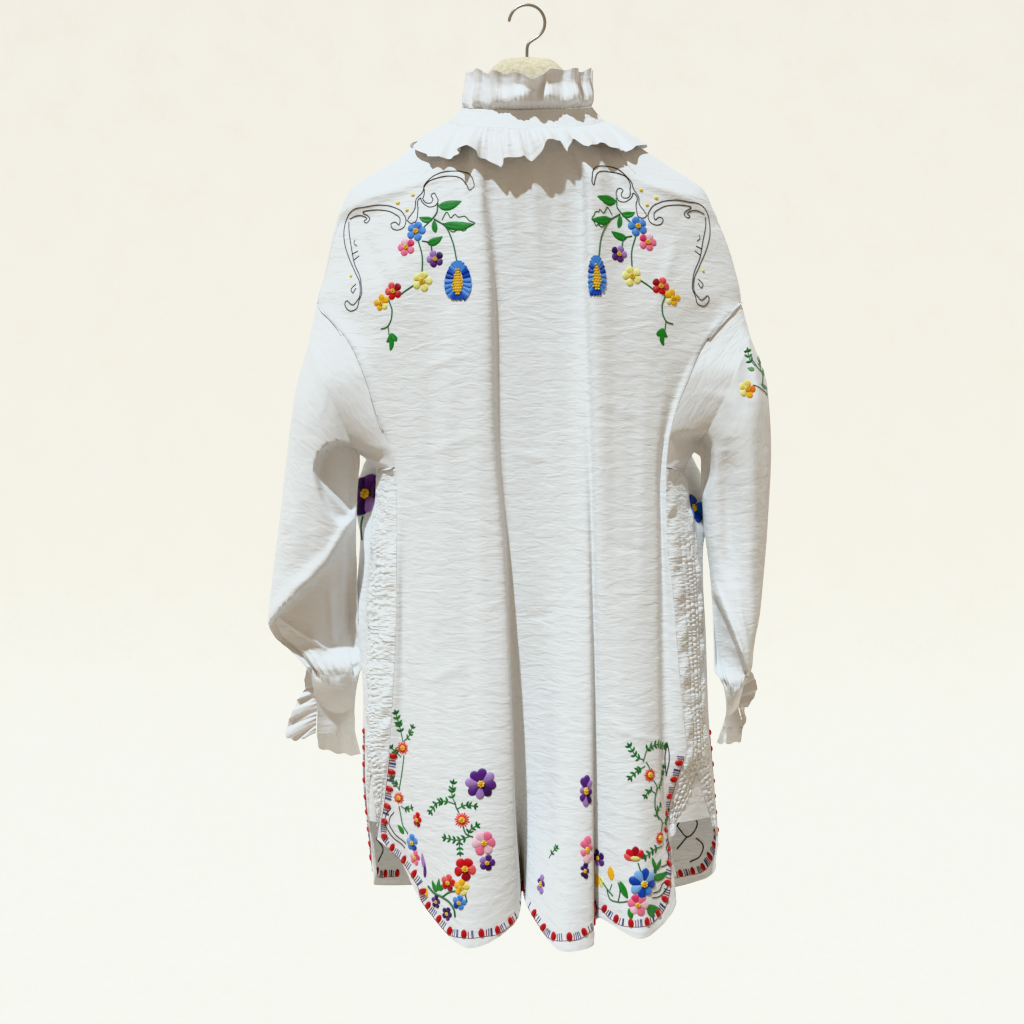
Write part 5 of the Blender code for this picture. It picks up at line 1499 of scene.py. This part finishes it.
def blob(sewn, grid, line, half, lift, tint, slant=0.0, groove=0.0, sides=6):
    """One closed stitched shape along a line of places on the cloth.

    At t from -1 to 1 over its half width it stands lift sqrt(1 - t^2) (1 - groove e^-(t/0.3)^2) over
    the cloth, lower where it is narrow, and its flat underside lies a little inside the cloth. The
    strands run along it, or aslant by slant; with a groove they meet on its middle line.
    """
    line = np.clip(line, 0.3, np.array(grid.point.shape[:2]) - 1.3)
    half = np.broadcast_to(np.asarray(half, float), (len(line),))
    point = between(grid.point, line)
    out = unit(between(grid.out, line))
    along = unit(np.gradient(point, axis=0))
    side = unit(np.cross(out, along))
    t = np.linspace(-1, 1, sides)
    wide = side[:, None] * (half[:, None] * t)[..., None]
    at = line[:, None] + steps(grid, line[:, None], wide)
    dome = np.sqrt(1 - t * t) * (1 - groove * np.exp(-(t / 0.3) ** 2))
    height = (lift + SINK) * dome * np.sqrt(half / half.max())[:, None] - SINK
    surface = between(grid.point, at) + unit(between(grid.out, at)) * height[..., None]
    walked = run_length(point, 0)[:, None]
    across = half[:, None] * (np.abs(t) if groove else t)
    uv = np.stack([across + slant * walked, walked + 0 * across], -1).reshape(-1, 2)
    faces = tube_faces(len(line), sides)
    tint = np.broadcast_to(tint, (len(line), 3))
    sewn.append((surface.reshape(-1, 3), faces, uv[faces] * MM, np.repeat(tint, sides, axis=0)))


def sew(name, sewn):
    """One mesh of all the stitched shapes on a piece of cloth."""
    points, faces, uv, colours = zip(*sewn)
    start = np.cumsum([0] + [len(part) for part in points[:-1]])
    faces = np.concatenate([part + first for part, first in zip(faces, start)])
    return add_object(name, np.concatenate(points), faces, np.concatenate(uv), THREAD,
                      colours=np.concatenate(colours), sharp=70)


def curve(grid, knots, step):
    """Places along a smooth curve through knots, about so many millimetres apart.

    Its slope at a knot is that of the parabola through the knot and its two neighbours.
    """
    t = run_length(between(grid.point, knots), 0)
    slope = np.gradient(knots, t, axis=0) if len(t) > 2 else np.tile((knots[1] - knots[0]) / t[1], (2, 1))
    at = np.linspace(0, t[-1], max(3, int(round(t[-1] / step)) + 1))
    k = np.clip(np.searchsorted(t, at, side="right") - 1, 0, len(t) - 2)
    span = (t[k + 1] - t[k])[:, None]
    return cubic((at[:, None] - t[k][:, None]) / span, span, knots[k], knots[k + 1], slope[k], slope[k + 1])


def course(grid, line):
    """Distance walked along a line of places on the cloth, its directions and those to its side."""
    point = between(grid.point, line)
    along = unit(np.gradient(point, axis=0))
    return run_length(point, 0), along, np.cross(unit(between(grid.out, line)), along)


def stem(sewn, cloth, knots, thread, width):
    """A line of slanting stitches through knots (rows and columns) on the cloth."""
    line = curve(cloth.grid, knots, 1.8 if thread == "ink" else 2.6)
    width = width * STEM_FULL
    blob(sewn, cloth.grid, line, width / 2, 0.35 + 0.22 * width, dye(thread), slant=0.9, sides=4)
    return line


def knot(sewn, grid, at, radius, tint, lift):
    """A round knot: a dome as wide as it is long, lift times its radius high."""
    x = np.array([-0.98, -0.75, -0.3, 0.3, 0.75, 0.98])
    line = shift(grid, at, radius * x, 0 * x)
    blob(sewn, grid, line, radius * np.sqrt(1 - x * x), lift * radius, tint)


def heart(sewn, grid, at, radius, squash=1.0):
    """Heart of a flower: a ring of small yellow knots round one in the middle."""
    for k in range(7):
        angle = 2 * np.pi * k / 7
        spot = shift(grid, at, 0.72 * radius * squash * math.sin(angle), 0.72 * radius * math.cos(angle))
        knot(sewn, grid, spot, 0.44 * radius, dye("yellow" if k % 3 else "amber"), 1.8)
    knot(sewn, grid, at, 0.5 * radius, dye("amber", 0.8), 2.0)


def flower(sewn, cloth, where, radius, petals, turn, squash, flip=1):
    """Satin-stitched petals round a heart: widest at 0.6 of their length, rounded at the tip, and darker
    towards their root as painted shade.
    """
    grid = cloth.grid
    at = find(cloth, where)[0]
    radius = radius * PIXEL
    petals = petals.split()
    slim, heart_share = (0.78, 0.26) if len(petals) < 6 else (0.88, 0.22)
    s = np.array([0, 0.2, 0.42, 0.6, 0.76, 0.89, 0.97, 1.0])
    tip = np.sqrt(np.clip(1 - ((s - 0.6) / 0.405) ** 2, 0.02, 1))
    shape = np.where(s < 0.6, 0.42 + 0.58 * smooth(s / 0.6), tip)
    wide = slim * math.sin(math.pi / len(petals)) * radius * (squash + 1) / 2
    for k, thread in enumerate(petals):
        angle = turn + 2 * np.pi * k / len(petals)
        reach = radius * (0.17 + 0.83 * s) * (1 + 0.05 * math.sin(5.0 * k + radius))
        line = shift(grid, at, flip * squash * reach * math.sin(angle), -reach * math.cos(angle))
        # Painted shade: each petal's colour is darkened towards its root, standing in for the shadow of the
        # threads by the heart.
        tint = dye(thread) * (0.72 + 0.28 * s ** 0.5)[:, None]
        blob(sewn, grid, line, wide * shape, 0.5 + 0.07 * radius, tint, sides=8)
    heart(sewn, grid, at, heart_share * radius, squash)


def leaf(sewn, cloth, ends, width, thread):
    """A satin-stitched leaf with a groove on its vein: its half width is sin(pi s^0.8)^0.75."""
    s = np.array([0.02, 0.14, 0.3, 0.48, 0.66, 0.83, 0.94, 0.995])
    bend = np.array([0.6, 0.0]) * np.sin(np.pi * s)[:, None]
    line = ends[0] + (ends[1] - ends[0]) * s[:, None] + bend
    half = 0.62 * width * PIXEL * np.sin(np.pi * s ** 0.8) ** 0.75
    blob(sewn, cloth.grid, line, half, 0.9, dye(thread), slant=0.75, groove=0.5, sides=8)


def sprig(sewn, cloth, knots, long):
    """A thin stem with pairs of small slanting leaves and one at its tip."""
    grid = cloth.grid
    line = stem(sewn, cloth, knots, "stem", 1.1)
    way, along, side = course(grid, line)
    s = np.array([0.0, 0.25, 0.55, 0.85, 1.0])
    shape = np.array([0.3, 0.9, 1.0, 0.6, 0.12])
    where = np.arange(way[-1], 0.2 * way[-1], -1.15 * long)
    for number, reach in enumerate(where):
        k = int(np.argmin(np.abs(way - reach)))
        for sign in ((-1, 0, 1) if number == 0 else (-1, 1)):
            toward = along[k] * (1.0 if sign == 0 else 0.62) + side[k] * 0.8 * sign
            move = steps(grid, line[k], unit(toward) * 1.25 * long)
            blob(sewn, grid, line[k] + s[:, None] * move, 0.33 * long * shape, 0.6,
                 dye("leaf" if number % 2 else "shade_leaf"), slant=0.5)


def daisy(sewn, cloth, where, radius):
    """A spiky flower: seventeen narrow stitches round a small heart."""
    at = find(cloth, where)[0]
    radius = radius * PIXEL
    s = np.array([0.34, 0.6, 0.85, 1.0])
    for k in range(17):
        angle = 2 * np.pi * k / 17
        reach = radius * s * (1.0 if k % 2 else 0.88)
        line = shift(cloth.grid, at, reach * math.sin(angle), -reach * math.cos(angle))
        blob(sewn, cloth.grid, line, radius * 0.125 * np.array([0.7, 1, 1, 0.5]), 0.6,
             dye("coral" if k % 3 else "salmon"), sides=4)
    heart(sewn, cloth.grid, at, 0.36 * radius)


def pod(sewn, cloth, where, squash, flip):
    """The blue pod: short stitches round a yellow drop filled with knots, notched at its foot."""
    grid = cloth.grid
    at = find(cloth, where)[0]
    s = np.array([0, 0.25, 0.5, 0.75, 0.93, 1.0])
    stitch = 3.1 * (0.62 + 0.38 * s) * (0.5 + 0.5 * squash)
    for k in range(22):
        angle = 2 * np.pi * (k + 0.5) / 22
        cosine = math.cos(angle)
        notch = 1 - 0.13 * math.exp(-((angle - math.pi) / 0.2) ** 2)
        x = (5.0 + (13.6 * notch - 5.0) * s) * math.sin(angle) * squash * (1 - 0.16 * cosine)
        z = -(12.0 + (19.6 * notch - 12.0) * s) * cosine
        dark = abs(angle - math.pi) < 0.55 or 0.2 < cosine < 0.55
        line = shift(grid, at, flip * x * PIXEL, z * PIXEL)
        blob(sewn, grid, line, stitch, 1.3, dye("deep" if dark else "blue"))
    x = np.linspace(-0.99, 0.99, 9)
    drop = shift(grid, at, 0 * x, 13.0 * PIXEL * x)
    half = 7.6 * squash * np.sqrt(1 - x * x) * (0.70 + 0.36 * x)
    blob(sewn, grid, drop, half, 1.7, dye("amber", 0.9), sides=8)
    for row, z in enumerate(np.arange(-11, 12.5, 2.6)):
        reach = 6.6 * squash * math.sqrt(max(0.05, 1 - (z / 13.4) ** 2)) * (0.72 + 0.03 * z)
        tint = dye("yellow", 1.0 if row % 2 else 0.86)
        for x in np.arange(-reach + 1.1 * (row % 2), reach + 0.1, 2.4):
            knot(sewn, grid, shift(grid, at, x * PIXEL, z * PIXEL), 1.25, tint, 1.9)


def tulip(sewn, cloth, where):
    """The red side-on flower: a fan of petals over a pale green cup."""
    at = find(cloth, where)[0]
    s = np.array([0, 0.25, 0.5, 0.72, 0.9, 1.0])
    shape = np.array([0.35, 0.75, 1.0, 1.0, 0.7, 0.25])
    petals = ((-1.25, 11.5, "salmon"), (-0.72, 12.5, "red"), (0.8, 11.5, "red"), (0.05, 13.0, "crimson"))
    for angle, reach, thread in petals:
        line = shift(cloth.grid, at, reach * s * math.sin(angle), 4.5 - reach * s * math.cos(angle))
        blob(sewn, cloth.grid, line, 4.0 * shape, 1.2, dye(thread), sides=8)
    x = np.linspace(-0.97, 0.97, 6)
    cup = shift(cloth.grid, at, 5.5 * x, 3.2 + 0 * x)
    blob(sewn, cloth.grid, cup, 3.2 * np.sqrt(1 - x * x), 1.7, dye("lemon", 0.8))


def embroider(sewn, cloth, motif, flip=1):
    """Sews a motif. With flip -1 it is mirrored, moved up a little and squeezed into its fold."""
    def spot(places):
        places = np.asarray(places, float)
        if flip > 0:
            return places
        places = places * (-1, 1) + (2 * MIRROR_MIDDLE, -MIRROR_RISE)
        places[..., 0] -= FOLD_SQUEEZE * np.minimum(places[..., 0] - FOLD_FROM, 0)
        return places

    for thread, width, places in motif.stems:
        stem(sewn, cloth, find(cloth, spot(places)), thread, width)
    for long, places in motif.sprigs:
        sprig(sewn, cloth, find(cloth, spot(places)), long)
    for root, tip, width, thread in motif.leaves:
        leaf(sewn, cloth, find(cloth, spot((root, tip))), width, thread)
    for x, y, radius in motif.daisies:
        daisy(sewn, cloth, spot((x, y)), radius)
    for x, y, radius, thread in motif.knots:
        knot(sewn, cloth.grid, find(cloth, spot((x, y)))[0], radius, dye(thread), 0.6)
    for x, y, radius, petals, turn, squash in motif.flowers:
        flower(sewn, cloth, spot((x, y)), radius, petals, turn, squash, flip)


def border(sewn, grid, knots, inward=1):
    """The border: a thin base line, a red knot each BORDER_STEP, and red and navy uprights between.

    Each knot and upright points into the cloth, square to the line; each knot is widest near the line.
    """
    line = curve(grid, knots, 1.2)
    way, _, side = course(grid, line)
    side = side * inward
    blob(sewn, grid, line[::2], 0.4, 0.35, dye("crimson"), slant=0.9, sides=4)
    s = np.array([0, 0.15, 0.4, 0.65, 0.88, 1.0])
    fat = np.array([0.5, 0.92, 1.0, 0.9, 0.6, 0.2])

    def upright(reach, long, half, lift, tint, sides):
        k = int(np.argmin(np.abs(way - reach)))
        if abs(way[k] - reach) < 2:
            move = steps(grid, line[k], side[k] * long)
            shape = s if sides > 4 else s[[0, 2, 5]]
            blob(sewn, grid, line[k] + shape[:, None] * move, half, lift, tint, sides=sides)

    for number in range(int(way[-1] / BORDER_STEP) + 1):
        start = BORDER_STEP * number + 3
        upright(start, 8.2, 3.3 * fat, 1.9, dye("red", 0.78), 8)
        upright(start + 4.9, 6.6, 0.6, 0.6, dye("crimson"), 4)
        for extra in (7.6, 9.7) if number % 2 else (7.4, 9.4, 11.4):
            upright(start + extra, 7.4, 0.6, 0.6, dye("navy"), 4)


def topstitch(sewn, grid, row, first, last, long, gap, thread):
    """A straight run of small stitches along one row of a grid, between two columns."""
    walked = run_length(grid.point[row], 0)
    columns = np.arange(len(walked))
    for start in np.arange(walked[first], walked[last], long + gap):
        at = np.interp(start + long * np.array([0, 0.5, 1]), walked, columns)
        blob(sewn, grid, np.column_stack([np.full(3, float(row)), at]), 0.32, 0.3, dye(thread), sides=4)


def hem_path(grid, head, inset, foot, reach=None):
    """Places down one side edge of a grid, along its hem and up the other, at a distance inside."""
    rows, columns = grid.point.shape[:2]
    last = rows - 1 - foot
    far = columns - 1 - inset
    turn = inset + 7
    path = [(head, inset), ((head + last) / 2, inset), (last - 9, inset), (last - 4, inset + 2),
            (last, turn)]
    if reach is not None:
        return np.array(path + [(last, turn + reach / 2), (last, turn + reach)], float)
    middle = [(last, j) for j in np.arange(turn + 5, far - 11, 5)]
    return np.array(path + middle + [(last, far - 7), (last - 4, far - 2), (last - 9, far),
                                     ((head + last) / 2, far), (head, far)], float)


def make_embroidery(grids):
    """All the stitched work: shoulders, hems and slit edges, and the motif on each sleeve."""
    front = grids["front"]
    for name, cloth in (("back", ready(grids["back"])), ("front", ready(front, turned=True))):
        sewn = []
        for flip in (1, -1):
            embroider(sewn, cloth, SHOULDER, flip)
            pod(sewn, cloth, *PODS[flip], flip)
        embroider(sewn, cloth, LOWER_LEFT)
        embroider(sewn, cloth, LOWER_RIGHT)
        tulip(sewn, cloth, TULIP)
        if name == "back":
            knots = [find(cloth, places) for places in (BORDER_LEFT, BORDER_MIDDLE, BORDER_RIGHT)]
            border(sewn, cloth.grid, np.concatenate(knots))
        else:
            border(sewn, cloth.grid, hem_path(cloth.grid, head=144, inset=2, foot=2.6))
            edge = ready(front)
            for place, radius, petals in SIDE_FLOWERS:
                flower(sewn, edge, place, radius, petals, 0.3, 1)
            stem(sewn, edge, find(edge, SIDE_STEM), "stem", 2.2)
        sew(name + "_embroidery", sewn)
    sewn = []
    topstitch(sewn, grids["neckband"], row=13, first=2, last=417, long=1.6, gap=1.0, thread="white")
    sew("neckband_stitches", sewn)
    inner = Grid(front.point - front.out * CLOTH, -front.out, front.uv)
    sewn = []
    path = hem_path(inner, head=153, inset=2, foot=2.6, reach=9)
    border(sewn, inner, path, inward=-1)
    columns = inner.point.shape[1] - 1
    border(sewn, inner, np.column_stack([path[:, 0], columns - path[:, 1]])[::-1], inward=-1)
    lining = ready(inner)
    for places in INSIDE_SCROLLS:
        stem(sewn, lining, find(lining, places), "ink", 1.5)
    sew("front_embroidery_inside", sewn)
    for side in ("right", "left"):
        sewn = []
        embroider(sewn, ready(grids["sleeve_" + side], turned=side == "left"), SLEEVE_MOTIF)
        sew("sleeve_embroidery_" + side, sewn)


PAPER_GLOW = (0.165, 0.132, 0.155)   # light that the pale paper gives off, so that it stays even
KEY_TOWARD = (-9, -19, 33)           # where the key lamp shines from
KEY_COLOUR = (0.80, 0.965, 1.08)
KEY_ENERGY, KEY_SPREAD = 3.62, 1.6
SURROUND_LIGHT = (1.0, 0.815, 0.61, 1)    # the warm light all round
SURROUND_SEEN = (1.0, 0.98, 0.885, 1)     # and the colour it is seen in


def make_stage():
    """A pale floor that sweeps up into a backdrop: a strip whose profile is flat, bent and upright."""
    floor_drop, reach, bend = 1.9, 3.0, 1.2
    angle = np.linspace(0, np.pi / 2, 24)
    y = np.concatenate([[-0.35], reach - bend + bend * np.sin(angle), [reach]])[:, None]
    z = np.concatenate([[0.0], bend * (1 - np.cos(angle)), [4.5]])[:, None] - floor_drop
    point = np.stack(np.broadcast_arrays(np.array([[-5.0, 5.0]]), y, z), -1)
    mesh = bpy.data.meshes.new("pale_floor")
    faces = quads_of(*point.shape[:2])[:, ::-1]
    mesh.from_pydata(point.reshape(-1, 3).tolist(), [], faces.tolist())
    mesh.shade_smooth()
    material, shader, add, link = new_material("pale_paper", 0.9)
    place = add("ShaderNodeTexCoord").outputs["Object"]
    noise = add("ShaderNodeTexNoise", place, Scale=7.0, Detail=6.0, Roughness=0.65)
    tones(shader, add, link, noise.outputs["Fac"], linear(240, 236, 222), linear(246, 243, 230), 0.35, 0.65)
    shader.inputs["Emission Color"].default_value = (*PAPER_GLOW, 1)
    shader.inputs["Emission Strength"].default_value = 1.0
    mesh.materials.append(material)
    in_scene("pale_floor", mesh)


def add_sun(name, toward, energy, spread, colour):
    """A distant lamp that shines from a direction, its edge softened by its spread in degrees."""
    lamp = bpy.data.lights.new(name, "SUN")
    lamp.energy = energy
    lamp.angle = math.radians(spread)
    lamp.color = colour
    in_scene(name, lamp).rotation_euler = Vector(toward).to_track_quat("Z", "Y").to_euler()


def make_light():
    """A steep key lamp from the upper left, in a weaker warm surround; tones roll off softly.

    Where the surround itself is seen, it is as pale as the paper floor.
    """
    add_sun("key", KEY_TOWARD, KEY_ENERGY, KEY_SPREAD, KEY_COLOUR)
    world = bpy.data.worlds.new("surround")
    world.use_nodes = True
    tree = world.node_tree
    add, link = node_tool(tree), tree.links.new
    warm = tree.nodes["Background"]
    warm.inputs["Color"].default_value = SURROUND_LIGHT
    warm.inputs["Strength"].default_value = 0.43
    paper = add("ShaderNodeBackground", Color=SURROUND_SEEN, Strength=1.16)
    mix = add("ShaderNodeMixShader")
    link(add("ShaderNodeLightPath").outputs["Is Camera Ray"], mix.inputs[0])
    link(warm.outputs["Background"], mix.inputs[1])
    link(paper.outputs["Background"], mix.inputs[2])
    link(mix.outputs["Shader"], tree.nodes["World Output"].inputs["Surface"])
    bpy.context.scene.world = world
    bpy.context.scene.view_settings.view_transform = "Khronos PBR Neutral"


def make_camera():
    """The photograph's view: level, straight at the back of the dress."""
    camera = bpy.data.cameras.new("camera")
    camera.sensor_width = 36
    camera.lens = camera.sensor_width * -EYE[1] / (2 * MIDDLE * PIXEL)
    holder = in_scene("camera", camera)
    holder.location = Vector(EYE * MM)
    holder.rotation_euler = (math.pi / 2, 0, 0)
    bpy.context.scene.camera = holder


make_camera()
make_stage()
make_light()
grids = make_cloth()
make_embroidery(grids)
make_hanger()
make_hook()
